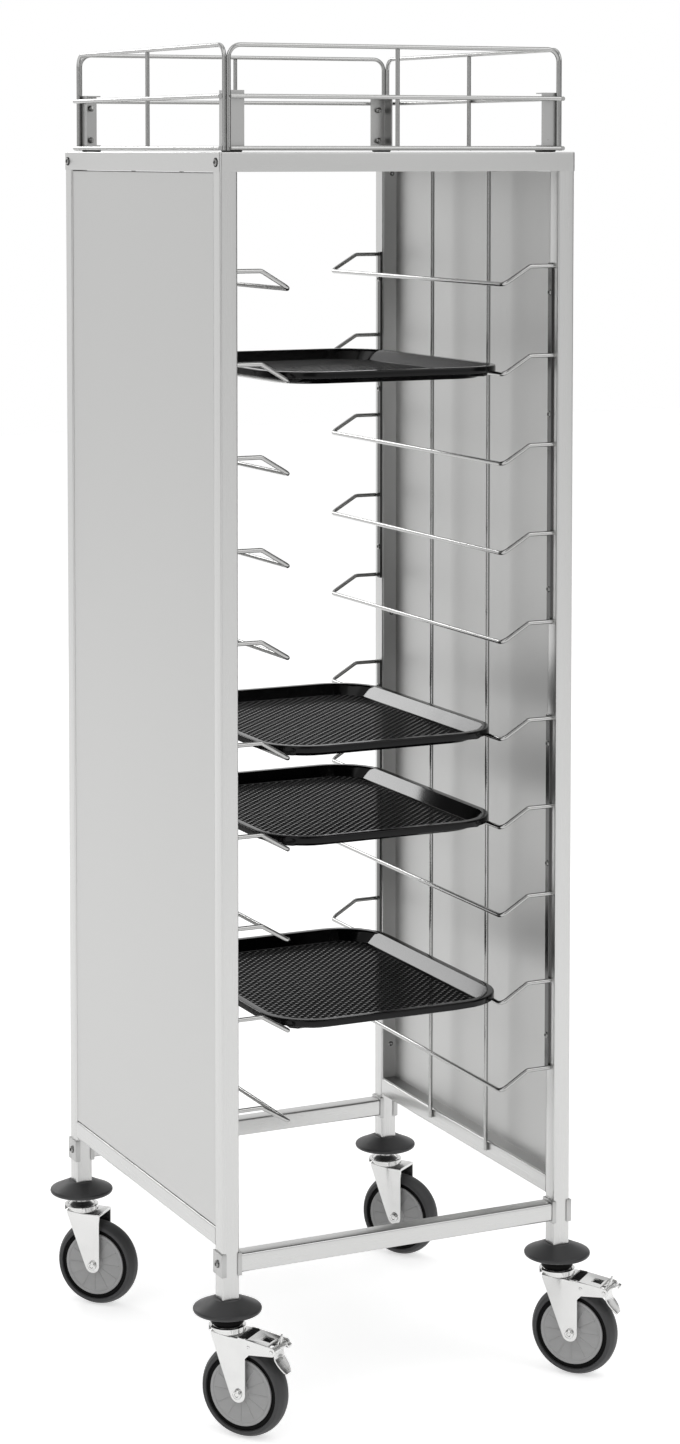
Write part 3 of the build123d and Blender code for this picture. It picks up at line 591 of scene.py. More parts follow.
def pip_tree(name):
    """Like parts on every other square of a chequered, rounded rectangle."""
    sockets = {"Square": "Float", "Across": "Int", "Deep": "Int"}
    sockets |= {"Half_Across": "Float", "Half_Deep": "Float", "Corner": "Float"}
    tree, given = new_tree(name, Part="Object", **sockets, Material="Material")
    part = part_of(tree, given)
    sides = {}
    for axis, count in (("X", "Across"), ("Y", "Deep")):
        squares = number(tree, "SUBTRACT", given[count], 1)
        sides[f"Size {axis}"] = number(tree, "MULTIPLY", squares, given["Square"])
        sides[f"Vertices {axis}"] = given[count]
    grid = add(tree, "GeometryNodeMeshGrid", sides)
    place = add(tree, "ShaderNodeSeparateXYZ", {0: add(tree, "GeometryNodeInputPosition").outputs[0]})
    squared = []
    for axis, half in ((0, "Half Across"), (1, "Half Deep")):
        straight = number(tree, "SUBTRACT", given[half], given["Corner"])
        away = number(tree, "ABSOLUTE", place.outputs[axis])
        beyond = number(tree, "MAXIMUM", number(tree, "SUBTRACT", away, straight), 0.0)
        squared.append(number(tree, "MULTIPLY", beyond, beyond))
    reach = number(tree, "SQRT", number(tree, "ADD", *squared))
    outside = number(tree, "GREATER_THAN", reach, given["Corner"])
    steps = number(tree, "ADD", place.outputs[0], place.outputs[1])
    steps = number(tree, "ROUND", number(tree, "DIVIDE", steps, given["Square"]))
    odd = number(tree, "FLOORED_MODULO", steps, 2.0)
    dropped = number(tree, "GREATER_THAN", number(tree, "ADD", outside, odd), 0.5)
    kept = add(tree, "GeometryNodeDeleteGeometry", {0: grid.outputs[0], 1: dropped}, domain="POINT")
    return close_tree(tree, given, kept.outputs[0], part)


def grown(base, maker, name, angle=SMOOTH_ANGLE, **values):
    """The plain mesh that a node tree grows on an object. The tree is made when first asked for."""
    title = maker.__name__.replace("_", " ")
    tree = bpy.data.node_groups.get(title) or maker(title)
    modifier = base.modifiers.new(title, "NODES")
    modifier.node_group = tree
    for item in tree.interface.items_tree:
        key = item.name.replace(" ", "_")
        if item.in_out == "INPUT" and key in values:
            modifier[item.identifier] = values[key]
    base.update_tag()
    return baked(base, name, angle)


def bent_wires(name, paths, sizes, bend, tiers=1):
    """Wires along paths of straight runs, as one object."""
    curve = bpy.data.curves.new("path", "CURVE")
    curve.dimensions = "3D"
    for points in paths:
        spline = curve.splines.new("POLY")
        spline.points.add(len(points) - 1)
        for place, point in zip(spline.points, points):
            place.co = (*point, 1.0)
    values = {"Diameter": sizes.wire, "Bend": bend, "Tiers": tiers, "Pitch": sizes.tier_pitch}
    wire = finish("electropolished wire")
    return grown(linked("path", curve), wire_tree, name, **values, Material=wire)


def copies(name, part, mesh, maker, material, place=None, angle=SMOOTH_ANGLE, **values):
    """Copies of a small part that a node tree sets out on a mesh, moved to a place."""
    values |= {"Part": part, "Material": finish(material)}
    made = grown(linked(name, mesh), maker, name, angle, **values)
    if place:
        made.data.transform(place)
    bpy.data.objects.remove(part)
    return made


def seated_parts(name, part, seats, material, turn=0.0, seed=0):
    """Copies of a small part on seats, each a point and the way out of its surface."""
    mesh = bpy.data.meshes.new("seats")
    mesh.from_pydata([point for point, outward in seats], [], [])
    outward = mesh.attributes.new("outward", "FLOAT_VECTOR", "POINT")
    for place, (point, way) in zip(outward.data, seats):
        place.vector = way
    return copies(name, part, mesh, scatter_tree, material, Turn=turn, Seed=seed)


def parts_in_ring(name, part, count, radius, material, place):
    """Copies of a part round a circle, moved to a place."""
    mesh = bpy.data.meshes.new("ring")
    return copies(name, part, mesh, ring_tree, material, place, Count=count, Radius=radius)


def weld_bead(radius):
    """A small puddle of weld, lying on the surface that it joins."""
    profile = rounded_profile([(0, -0.5 * radius, 0), (radius, 0, 0.4 * radius), (0, 0.55 * radius, 0)])
    return piece("weld bead", [turned(profile, Matrix(), 12)], "electropolished wire")


def button_head(diameter, height, socket):
    """A button head with a hexagon socket, standing on its seat."""
    radius = diameter / 2
    foot = [(0, 0, 0), (radius, 0, 0), (radius, 0.3 * height, 0.2 * height)]
    outline = rounded_profile(foot + [(0.62 * radius, height, 0.5 * height)])
    rings = [round_ring(r, z) for r, z in outline]
    rings += [round_ring(socket / 2, depth, hexagon=True) for depth in (height, 0.25 * height)]
    return piece("button head", [loft(rings, end_cap=True)], "stainless fastener")


def domed_nut(flats, height, dome):
    """A hexagon nut with a domed end, standing on its seat."""
    levels = ((0, 0.97), (0.1, 1.0), (0.85, 1.0), (1.0, 0.93))
    rings = [round_ring(share * flats / 2, level * height, hexagon=True) for level, share in levels]
    for rise in range(7):
        angle = rise / 6 * pi / 2
        reach = flats / 2 * 0.92 * cos(angle) + 0.01 * MM
        rings.append(round_ring(reach, height + dome * sin(angle)))
    return piece("domed nut", [solid(rings)], "stainless fastener")


def tube_skin(start, end, half, wall, corner, edge):
    """A skin of square tube between two points, with eased cut ends."""
    along = (end - start).normalized()
    across = Vector((0, 1, 0)) if abs(along.x) > 0.5 else Vector((1, 0, 0))
    other = along.cross(across)
    rings = []
    inner = half - wall
    stations = [
        (start + along * edge, half, corner),
        (end - along * edge, half, corner),
        (end, half - edge, corner),
        (end, inner, 0.5 * corner),
        (start, inner, 0.5 * corner),
        (start, half - edge, corner),
    ]
    for point, reach, radius in stations:
        ring = rounded_rectangle(reach, reach, radius, steps=4)
        rings.append([point + across * u + other * v for u, v in ring])
    return loft(rings, wrap=True)


def middle_line(node):
    """The two end points of a straight node's middle line, and half its thickness."""
    low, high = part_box(node)
    size = high - low
    axis = max(range(3), key=lambda place: size[place])
    start, end = (low + high) / 2, (low + high) / 2
    start[axis], end[axis] = low[axis], high[axis]
    return start, end, min(size) / 2


class Caster:
    """Directions and places of one caster, read from its joints."""

    def __init__(self, corner):
        roll = joints[f"roll_{corner}"]
        self.corner = corner
        self.hub = Vector(roll["pos_m"])
        self.across = Vector(roll["axis"]).normalized()
        self.heading = UP.cross(self.across)
        self.seat = Vector(joints[f"swivel_{corner}"]["pos_m"]) * Vector((1, 1, 0))
        turn = Matrix((self.heading, -self.across, UP)).transposed().to_4x4()
        self.place = Matrix.Translation(self.seat) @ turn
        self.axle = Matrix.Translation(self.hub) @ turn @ Matrix.Rotation(pi / 2, 4, "X")
        self.swivel = f"swivel_{corner}"
        self.wheel = f"wheel_{corner}"


class Step:
    """What the operators share: each makes its pieces from the sizes that a user may have changed."""

    def execute(self, context):
        self.make(context.scene.trolley_sizes)
        return {"FINISHED"}


class TROLLEY_OT_tubes(Step, bpy.types.Operator):
    """Make the posts and rails of square tube, with rounded corners and eased cut ends"""

    bl_idname = "trolley.tubes"
    bl_label = "Posts and Rails"

    def make(self, sizes):
        tubes = {f"post_{corner}": "upright" for corner in CORNERS}
        for end in ENDS:
            tubes |= {f"top_rail_{end}": "across", f"cross_rail_{end}": "across"}
        for side in SIDES:
            tubes |= {f"top_rail_{side}": "deep", f"side_rail_{side}": "deep"}
        for node, grain in tubes.items():
            start, end, half = middle_line(node)
            skin = tube_skin(start, end, half, sizes.tube_wall, sizes.tube_corner, sizes.edge)
            tube = piece(f"{node}_tube", [skin], f"stainless tube {grain}")
            settled(tube, FRAME_BODY, "frame_tube", node)


class TROLLEY_OT_deck(Step, bpy.types.Operator):
    """Fold the deck, a lid of thin sheet over the top rails"""

    bl_idname = "trolley.deck"
    bl_label = "Deck"

    def make(self, sizes):
        low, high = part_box("top_cover")
        middle, half = (low + high) / 2, (high - low) / 2
        fold, sheet = sizes.deck_fold, sizes.sheet
        corner = sizes.tube_corner + sheet
        outer = rounded_profile([(0, low.z, 0), (0, high.z, fold), (2 * corner, high.z, 0)])
        inner = rounded_profile(
            [(2 * corner, high.z - sheet, 0), (sheet, high.z - sheet, fold - sheet), (sheet, low.z, 0)]
        )
        rings = []
        for inset, z in outer[:-1] + inner[1:]:
            bend = max(corner - inset, LEAST_BEND)
            rings.append(level_ring(half.x - inset, half.y - inset, bend, z, middle))
        lid = piece("deck_lid", [pan_skin(rings, len(outer) - 2)], "stainless deck sheet")
        settled(lid, FRAME_BODY, "cover_sheet", "top_cover")


class TROLLEY_OT_side_sheets(Step, bpy.types.Operator):
    """Fold the side panels, shallow pans with their flanges turned inwards"""

    bl_idname = "trolley.side_sheets"
    bl_label = "Side Panels"

    corner = 0.3 * MM

    def make(self, sizes):
        fold, sheet = sizes.panel_fold, sizes.sheet
        for name, side in SIDES.items():
            low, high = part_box(f"side_panel_{name}")
            middle, half = (low + high) / 2, (high - low) / 2
            half -= Vector((0, sizes.panel_gap, sizes.panel_gap))
            depth = high.x - low.x
            face = high.x if side > 0 else low.x
            outer = rounded_profile([(0, depth, 0), (0, 0, fold), (4 * fold, 0, 0)])
            inner = rounded_profile([(4 * fold, sheet, 0), (sheet, sheet, fold - sheet), (sheet, depth, 0)])
            rings = []
            for inset, inward in outer[:-1] + inner[1:]:
                ring = rounded_rectangle(half.y - inset, half.z - inset, self.corner, steps=2)
                rings.append([Vector((face - side * inward, middle.y + y, middle.z + z)) for y, z in ring])
            pan = piece(f"side_sheet_{name}", [pan_skin(rings, len(outer) - 2)], "stainless panel sheet")
            settled(pan, FRAME_BODY, "panel_sheet", f"side_panel_{name}")


class TROLLEY_OT_rail_fittings(Step, bpy.types.Operator):
    """Ease the cradles and clamp plates at the cross rails' ends"""

    bl_idname = "trolley.rail_fittings"
    bl_label = "Rail Fittings"

    def make(self, sizes):
        for node, name in (("rail_saddles", "rail_cradles"), ("clamp_plates", "clamp_channels")):
            plates = eased_copy(node, name, "stainless plate", sizes.edge)
            settled(plates, FRAME_BODY, "bracket_steel", node)


class TROLLEY_OT_racks(Step, bpy.types.Operator):
    """Bend the wire supports in their tiers and weld them to their flat bars"""

    bl_idname = "trolley.racks"
    bl_label = "Support Racks"

    tiers = 5
    bar_corner = 1.0 * MM
    bead_share = 0.7  # of the wire's radius, from its middle to a weld bead

    def make(self, sizes):
        radius = sizes.wire / 2
        beads = []
        for side_name, side in SIDES.items():
            for group in ("upper", "lower"):
                node = f"rack_{side_name}_{group}"
                low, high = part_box(node)
                wall = high.x if side > 0 else low.x
                run = low.x + radius if side > 0 else high.x - radius
                shoulder = side * sizes.shoulder_spacing / 2
                stop = high.y - radius
                top = high.z - sizes.bar_overhang
                run_height = top - sizes.run_drop
                path = [(wall, -stop, top), (shoulder, -stop, top), (run, -stop, run_height)]
                path += [(x, -y, z) for x, y, z in reversed(path)]
                name = f"support_wires_{side_name}_{group}"
                wires = bent_wires(name, [path], sizes, sizes.rack_bend, self.tiers)
                settled(wires, FRAME_BODY, "rack_wire", node)
                bars = self.bars(node, f"support_bars_{side_name}_{group}", side, stop - radius, sizes)
                settled(bars, FRAME_BODY, "rack_wire")
                for end in ENDS.values():
                    for tier in range(self.tiers):
                        z = top - tier * sizes.tier_pitch
                        seat = Vector((wall - side * radius, end * (stop - radius), z))
                        for way in (1, -1):
                            bead = seat + UP * way * radius * self.bead_share
                            beads.append((bead, Vector((-side, end, way))))
        welds = seated_parts("support_welds", weld_bead(sizes.weld), beads, "electropolished wire", pi, 4)
        settled(welds, FRAME_BODY, "rack_wire")

    def bars(self, node, name, side, outer_y, sizes):
        """The two flat bars of a rack, with eased corners."""
        low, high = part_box(node)
        bottom = high.z - 2 * sizes.bar_overhang - (self.tiers - 1) * sizes.tier_pitch
        middle_z, half_height = (high.z + bottom) / 2, (high.z - bottom) / 2
        wall = high.x if side > 0 else low.x
        thickness, half_width = sizes.wire / 2, sizes.bar_width / 2
        outline = rounded_rectangle(half_width, half_height, self.bar_corner, steps=3)
        skins = []
        for end in ENDS.values():
            middle_y = end * (outer_y - half_width)
            rings = []
            for inward, inset in ((0, 0), (thickness - sizes.edge, 0), (thickness, sizes.edge)):
                x = wall - side * inward
                wide, tall = 1 - inset / half_width, 1 - inset / half_height
                rings.append([Vector((x, middle_y + y * wide, middle_z + z * tall)) for y, z in outline])
            skins.append(solid(rings))
        # the bars' finish is painted shade, darker than the steel they are cut from
        return piece(name, skins, "stainless flat bar")


class TROLLEY_OT_guards(Step, bpy.types.Operator):
    """Stand the guard rods against the rails, and weld them"""

    bl_idname = "trolley.guards"
    bl_label = "Guard Rods"

    def make(self, sizes):
        low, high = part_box("guard_rods")
        reach = high.x - sizes.wire / 2
        paths = []
        beads = []
        for side in SIDES.values():
            for end in ENDS.values():
                y = end * sizes.guard_spacing / 2
                paths.append([(side * reach, y, low.z), (side * reach, y, high.z)])
                for z in (low.z + sizes.wire / 2, low.z + 1.6 * sizes.wire, high.z - sizes.wire):
                    seat = Vector((side * (high.x - 0.3 * sizes.wire), y + 0.45 * sizes.wire, z))
                    beads.append((seat, Vector((-side, 1, 0))))
        rods = bent_wires("guard_wires", paths, sizes, 0.0)
        settled(rods, FRAME_BODY, "rack_wire", "guard_rods")
        welds = seated_parts("guard_welds", weld_bead(sizes.weld), beads, "electropolished wire", pi, 9)
        settled(welds, FRAME_BODY, "rack_wire")


class TROLLEY_OT_gallery(Step, bpy.types.Operator):
    """Bend the four frames of the gallery, with their rails and uprights"""

    bl_idname = "trolley.gallery"
    bl_label = "Gallery"

    bead_share = 0.8  # of the wire's radius, from its middle to a weld bead

    def make(self, sizes):
        radius = sizes.wire / 2
        beads = []
        for name, out in (("front", (0, -1)), ("rear", (0, 1)), ("left", (-1, 0)), ("right", (1, 0))):
            low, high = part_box(f"gallery_{name}")
            outward = Vector((*out, 0))
            along = Vector((abs(out[1]), abs(out[0]), 0))
            half_width = high.dot(along) - radius
            outer_face = high.dot(outward) if sum(out) > 0 else low.dot(outward)
            middle = outward * (outer_face - 3 * radius)
            rail = outward * (outer_face - radius)
            foot_z, top_z = low.z + radius, high.z - radius
            levels = (foot_z, foot_z + sizes.gallery_middle)
            left, right = middle - along * half_width, middle + along * half_width
            paths = [
                [left + UP * low.z, left + UP * top_z, right + UP * top_z, right + UP * low.z],
                [middle + UP * low.z, middle + UP * (top_z - radius)],
            ]
            reach = along * half_width
            for level in levels:
                paths.append([rail - reach + UP * level, rail + reach + UP * level])
                for place in (left, middle, right):
                    seat = place + outward * radius + UP * level
                    for way in (-1, 1):
                        bead = seat + UP * way * radius * self.bead_share
                        beads.append((bead, (outward + UP * way).normalized()))
            wires = bent_wires(f"gallery_wires_{name}", paths, sizes, sizes.gallery_bend)
            settled(wires, FRAME_BODY, "gallery_wire", f"gallery_{name}")
            beads.append((middle + UP * (top_z - radius), Vector(outward)))
        welds = seated_parts("gallery_welds", weld_bead(sizes.weld), beads, "electropolished wire", pi, 2)
        settled(welds, FRAME_BODY, "gallery_wire")


class TROLLEY_OT_gallery_fittings(Step, bpy.types.Operator):
    """Fold the gallery's corner brackets and mould their rubber feet"""

    bl_idname = "trolley.gallery_fittings"
    bl_label = "Gallery Brackets"

    foot_corner = 4.0 * MM
    foot_ease = 1.0 * MM
    fold = 2.0 * MM
    eased = 0.3 * MM
    lap = 0.1 * MM  # the cap and the foot lie this far inside the wings' ends

    def make(self, sizes):
        low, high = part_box("bracket_pads")
        foot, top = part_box("gallery_brackets")
        wing = sizes.bracket_wing
        inset = top.x - high.x
        half = wing / 2 - inset
        angles, feet = [], []
        for side, end in CORNERS.values():
            corner = Vector((side * top.x, end * top.y, 0))
            inward = Vector((-side, -end, 0))
            angles += self.bracket(corner, inward, foot.z, top.z, wing, sizes)
            middle = corner + inward * wing / 2
            rings = []
            for z, shrink in (
                (low.z, self.foot_ease),
                (low.z + self.foot_ease, 0),
                (high.z - self.foot_ease, 0),
                (high.z, 0.8 * self.foot_ease),
            ):
                rings.append(level_ring(half - shrink, half - shrink, self.foot_corner, z, middle))
            feet.append(solid(rings))
        brackets = piece("corner_brackets", angles, "stainless plate")
        settled(brackets, FRAME_BODY, "bracket_steel", "gallery_brackets")
        feet = piece("bracket_feet", feet, "foot rubber")
        settled(feet, FRAME_BODY, "pad_rubber", "bracket_pads")

    def bracket(self, corner, inward, bottom, top, wing, sizes):
        """An angle with its cap and its foot, as three closed skins."""
        sheet, fold, cut = sizes.bracket_sheet, self.fold, sizes.bracket_chamfer
        half = [(wing, 0, 0), (wing, sheet, 0)]
        mirror = [(v, u, radius) for u, v, radius in reversed(half)]
        section = rounded_profile([(0, 0, fold)] + half + [(sheet, sheet, self.eased)] + mirror)
        levels = ((bottom, self.eased), (bottom + self.eased, 0), (top - self.eased, 0), (top, self.eased))
        rings = []
        for z, shrink in levels:
            ring = []
            for u, v in section:
                u = min(max(u, shrink), wing - shrink)
                v = min(max(v, shrink), wing - shrink)
                ring.append(corner + Vector((inward.x * u, inward.y * v, z)))
            rings.append(ring)
        skins = [solid(rings)]
        near, far = 0.6 * sheet, wing
        plate = [(near, near), (far, near), (far, far - cut), (far - cut, far), (near, far)]
        for low, high in ((bottom + self.lap, bottom + sheet), (top - sheet, top - self.lap)):
            rings = []
            for z in (low, high):
                rings.append([corner + Vector((inward.x * u, inward.y * v, z)) for u, v in plate])
            skins.append(solid(rings))
        return skins


class TROLLEY_OT_fasteners(Step, bpy.types.Operator):
    """Set the screws, bolts and domed nuts on their seats"""

    bl_idname = "trolley.fasteners"
    bl_label = "Fasteners"

    head_share = 0.27
    socket_share = 0.36
    nut_height = 4.0 * MM
    nut_dome = 3.4 * MM
    deck_rise = 2.8 * MM
    # The black ring under each deck head is painted shadow, not a real washer.
    washer_height = 0.8 * MM
    washer_edge = 0.3 * MM
    deck_head_share = 0.8  # of the CAD head's width, which the black ring of painted shadow under the head takes up

    def make(self, sizes):
        groups = (
            ("rack_screws", "rack_screw_heads", sizes.screw_head, 1),
            ("panel_screws", "panel_screw_heads", sizes.screw_head, 2),
            ("clamp_bolts", "clamp_bolt_heads", sizes.bolt_head, 5),
        )
        for node, name, diameter, seed in groups:
            height = self.head_share * diameter
            seats = self.seats(node, height)
            head = button_head(diameter, height, self.socket_share * diameter)
            made = seated_parts(name, head, seats, "stainless fastener", pi / 3, seed)
            settled(made, FRAME_BODY, "fastener_steel", node)
        self.deck_screws(sizes)
        nuts = domed_nut(sizes.nut, self.nut_height, self.nut_dome)
        seats = self.seats("bracket_nuts", self.nut_height + self.nut_dome)
        made = seated_parts("domed_nuts", nuts, seats, "stainless fastener", pi / 3, 6)
        settled(made, FRAME_BODY, "fastener_steel", "bracket_nuts")

    def deck_screws(self, sizes):
        """The deck's larger button heads, each on a thin black ring of painted shadow that shows as a dark
        ring round the head.
        """
        reach = sizes.deck_screw_head / 2 + self.washer_edge
        seats = self.seats("cover_screws", self.deck_rise)
        socket = self.socket_share * sizes.deck_screw_head
        head = button_head(self.deck_head_share * sizes.deck_screw_head, self.deck_rise, socket)
        heads = seated_parts("deck_screw_heads", head, seats, "stainless fastener", pi / 3, 3)
        # painted shadow: a thin black ring round the foot of each head
        height, edge = self.washer_height, self.washer_edge
        rim = rounded_profile([(0, 0, 0), (reach, 0, 0), (reach, height, edge), (0, height, 0)])
        washer = piece("washer", [turned(rim, Matrix(), 32)], "black moulded ring")
        shade_rings = seated_parts("deck_screw_washers", washer, seats, "black moulded ring", 0.0, 4)
        heads = joined([heads, shade_rings], "deck_screw_heads")
        settled(heads, FRAME_BODY, "fastener_steel", "cover_screws")

    def seats(self, node, height):
        """The seat of each fastener in a node: a point under its head, and the way out."""
        shaped = node_mesh(node)
        seats = []
        for island in islands(shaped):
            low = Vector([min(v.co[axis] for v in island) for axis in range(3)])
            high = Vector([max(v.co[axis] for v in island) for axis in range(3)])
            size = high - low
            axis = min(range(3), key=lambda place: abs(size[place - 1] - size[place - 2]))
            middle = (low + high) / 2
            halves = [[], []]
            for vert in island:
                across = vert.co - middle
                across[axis] = 0
                halves[vert.co[axis] > middle[axis]].append(across.length)
            way = 1 if max(halves[1]) > max(halves[0]) else -1
            if node == "bracket_nuts":
                way = -1 if middle.y > 0 else 1
            outward = Vector([way if place == axis else 0 for place in range(3)])
            seat = middle.copy()
            seat[axis] = (high[axis] if way > 0 else low[axis]) - way * height
            seats.append((seat, outward))
        shaped.free()
        return seats


def islands(shaped):
    """The vertices of each separate solid in a mesh."""
    waiting = set(shaped.verts)
    found = []
    while waiting:
        island = [waiting.pop()]
        for vert in island:
            for edge in vert.link_edges:
                other = edge.other_vert(vert)
                if other in waiting:
                    waiting.remove(other)
                    island.append(other)
        found.append(island)
    def middle(island):
        return [round(sum(vert.co[axis] for vert in island) / len(island), 4) for axis in range(3)]

    return sorted(found, key=middle)


class TROLLEY_OT_bumpers(Step, bpy.types.Operator):
    """Turn the bumper discs, and the toothed lock rings under the braked ones"""

    bl_idname = "trolley.bumpers"
    bl_label = "Bumpers"

    bore = 10.5 * MM
    foot_inset, top_inset = 11 * MM, 9 * MM
    belly_height, rim_height, top_height = 2.5 * MM, 7.5 * MM, 11.5 * MM
    teeth = 20
    half_tooth, tooth_reach = 0.75 * MM, 2.2 * MM
    ring_outer = 22 * MM
    ring_root = 20.9 * MM
    ring_bore = 20.05 * MM

    def make(self, sizes):
        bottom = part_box("bumper_rear_left")[0].z
        for corner in CORNERS:
            low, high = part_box(f"bumper_{corner}")
            outer = (high.x - low.x) / 2
            profile = rounded_profile(
                [
                    (self.bore, bottom, 0),
                    (outer - self.foot_inset, bottom, 3 * MM),
                    (outer - 0.6 * MM, bottom + self.belly_height, 3.5 * MM),
                    (outer, bottom + self.rim_height, 3 * MM),
                    (outer - self.top_inset, bottom + self.top_height, 8 * MM),
                    (sizes.bumper_top / 2, high.z, 2 * MM),
                    (self.bore, high.z, 0),
                ],
                steps=5,
            )
            place = Matrix.Translation(Caster(corner).seat)
            disc = piece(f"bumper_disc_{corner}", [turned(profile, place)], "bumper rubber", radians(40))
            settled(disc, FRAME_BODY, "bumper_rubber", f"bumper_{corner}")
            if corner in BRAKED:
                ring = self.lock_ring(place, corner, low.z, bottom)
                settled(ring, FRAME_BODY, "bumper_rubber")

    def lock_ring(self, place, corner, low, high):
        """The toothed ring in which the brake's pawl locks."""
        outer, bore, root = self.ring_outer, self.ring_bore, self.ring_root
        middle, half_height = (low + high) / 2, (high - low) / 4
        wide = [(bore, low, 0), (outer, low, 0.5 * MM), (outer, middle, 0.4 * MM)]
        narrow = [(root, middle, 0), (root, high, 0), (bore, high, 0)]
        profile = rounded_profile(wide + narrow, steps=2)
        core = piece("lock ring", [turned(profile, place, 80)], "black moulded ring")
        block = []
        for z in (-half_height, half_height):
            block.append(level_ring(self.half_tooth, self.tooth_reach, 0.4 * MM, z, steps=2))
        tooth = piece("tooth", [solid(block)], "black moulded ring")
        lift = place @ Matrix.Translation(UP * (high - half_height))
        reach = outer - self.half_tooth
        ring = parts_in_ring("teeth", tooth, self.teeth, reach, "black moulded ring", lift)
        return joined([core, ring], f"lock_ring_{corner}")


class TROLLEY_OT_stems(Step, bpy.types.Operator):
    """Turn the fixed stems that hold the casters in the posts"""

    bl_idname = "trolley.stems"
    bl_label = "Caster Stems"

    pin_head, pin_head_height = 9 * MM, 3 * MM
    pin = 6 * MM
    cup, cup_rim = 19.7 * MM, 3.7 * MM
    cup_drop = 16 * MM
    collar, collar_height = 12 * MM, 5 * MM
    neck, neck_height = 11 * MM, 4 * MM
    stem = 10.5 * MM

    def make(self, sizes):
        low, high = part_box("caster_stems")
        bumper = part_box("bumper_rear_left")[0].z
        cup_top = bumper - self.cup_drop
        rim, head = cup_top - self.cup_rim, low.z + self.pin_head_height
        profile = rounded_profile(
            [
                (0, low.z, 0),
                (self.pin_head, low.z, 0.5 * MM),
                (self.pin_head, head, 0.5 * MM),
                (self.pin, head, 0),
                (self.pin, rim, 0),
                (self.cup, rim, 0.3 * MM),
                (self.cup, cup_top, 0.8 * MM),
                (self.collar, cup_top + self.collar_height, 4 * MM),
                (self.neck, bumper - self.neck_height, 1 * MM),
                (self.neck, bumper, 0),
                (self.stem, bumper, 0),
                (self.stem, high.z, 1 * MM),
                (0, high.z, 0),
            ]
        )
        skins = [turned(profile, Matrix.Translation(Caster(corner).seat), 64) for corner in CORNERS]
        stems = piece("stems", skins, "bright zinc plate")
        settled(stems, FRAME_BODY, "zinc_steel", "caster_stems")


class TROLLEY_OT_forks(Step, bpy.types.Operator):
    """Press the forks, with a crease down each cheek and eased edges"""

    bl_idname = "trolley.forks"
    bl_label = "Forks"

    crease_slope = tan(radians(12))
    crease_round = 3.0 * MM
    cheek_start = 15 * MM
    rivet_ahead = 42.8 * MM
    rivet_height = 128.6 * MM
    rivet = 2.6 * MM

    def make(self, sizes):
        for corner in CORNERS:
            caster = Caster(corner)
            name = f"fork_shell_{corner}"
            crown_top = Vector(joints[caster.swivel]["pos_m"]).z

            def creased(shaped, caster=caster, crown_top=crown_top):
                """Bends the leading part of both cheeks inwards along an upright crease."""
                shaped.transform(caster.place.inverted())
                self.crease(shaped, sizes.fork_crease, crown_top)
                shaped.transform(caster.place)

            fork = eased_copy(f"fork_{corner}", name, "bright zinc plate", sizes.edge, creased)
            if corner in BRAKED:
                fork = joined([fork, self.rivets(caster)], name)
            settled(fork, caster.swivel, "zinc_steel", f"fork_{corner}")

    def crease(self, shaped, crease, crown_top):
        """Cuts a fork along its crease and moves what lies ahead of it inwards."""
        for offset in (-self.crease_round, 0, self.crease_round):
            everything = shaped.verts[:] + shaped.edges[:] + shaped.faces[:]
            plane = Vector((crease + offset, 0, 0))
            bmesh.ops.bisect_plane(shaped, geom=everything, plane_co=plane, plane_no=(1, 0, 0), dist=1e-6)
        for vert in shaped.verts:
            ahead = crease - vert.co.x
            if vert.co.z > crown_top + LEVEL or ahead < -self.crease_round:
                continue
            if ahead > self.crease_round:
                shift = ahead * self.crease_slope
            else:
                share = (ahead + self.crease_round) / (2 * self.crease_round)
                shift = self.crease_round * self.crease_slope * share * share
            if abs(vert.co.y) > self.cheek_start:
                vert.co.y -= shift if vert.co.y > 0 else -shift

    def rivets(self, caster):
        """The rivet's dished head on each horn."""
        head = [(0, -1 * MM, 0), (self.rivet, -1 * MM, 0), (self.rivet, 0.5 * MM, 0.4 * MM)]
        profile = rounded_profile(head + [(1.1 * MM, 0.9 * MM, 0.3 * MM), (0, 0.1 * MM, 0)])
        skins = []
        for side in (-1, 1):
            turn = Matrix.Rotation(side * pi / 2, 4, "X")
            seat = Matrix.Translation(Vector((self.rivet_ahead, -side * CHEEK, self.rivet_height)))
            skins.append(turned(profile, caster.place @ seat @ turn, 20))
        return piece("rivets", skins, "bright zinc plate")


class TROLLEY_OT_axles(Step, bpy.types.Operator):
    """Turn the axle bolts, with a dished head and a nut"""

    bl_idname = "trolley.axles"
    bl_label = "Axle Bolts"

    shank = 4 * MM
    head = 6.25 * MM
    tail = 7 * MM
    nut_flats = 13 * MM
    nut_height = 4.6 * MM
    nut_dome = 1.0 * MM

    def make(self, sizes):
        profile = rounded_profile(
            [
                (0, -CHEEK - self.tail, 0),
                (self.shank, -CHEEK - self.tail, 0.6 * MM),
                (self.shank, CHEEK, 0),
                (self.head, CHEEK, 0),
                (self.head, CHEEK + 2.6 * MM, 0.9 * MM),
                (4.4 * MM, CHEEK + 4 * MM, 0.8 * MM),
                (3.1 * MM, CHEEK + 3.8 * MM, 0.5 * MM),
                (2.4 * MM, CHEEK + 2.6 * MM, 0.6 * MM),
                (0, CHEEK + 2.5 * MM, 0),
            ]
        )
        flip = Matrix.Translation((0, 0, -CHEEK)) @ Matrix.Rotation(pi, 4, "X")
        for corner in CORNERS:
            caster = Caster(corner)
            bolt = piece("bolt", [turned(profile, caster.axle, 48)], "bright zinc plate")
            nut = domed_nut(self.nut_flats, self.nut_height, self.nut_dome)
            nut.data.transform(caster.axle @ flip)
            nut.data.materials[0] = finish("bright zinc plate")
            made = joined([bolt, nut], f"axle_bolt_{corner}")
            settled(made, caster.swivel, "zinc_steel", f"axle_{corner}")


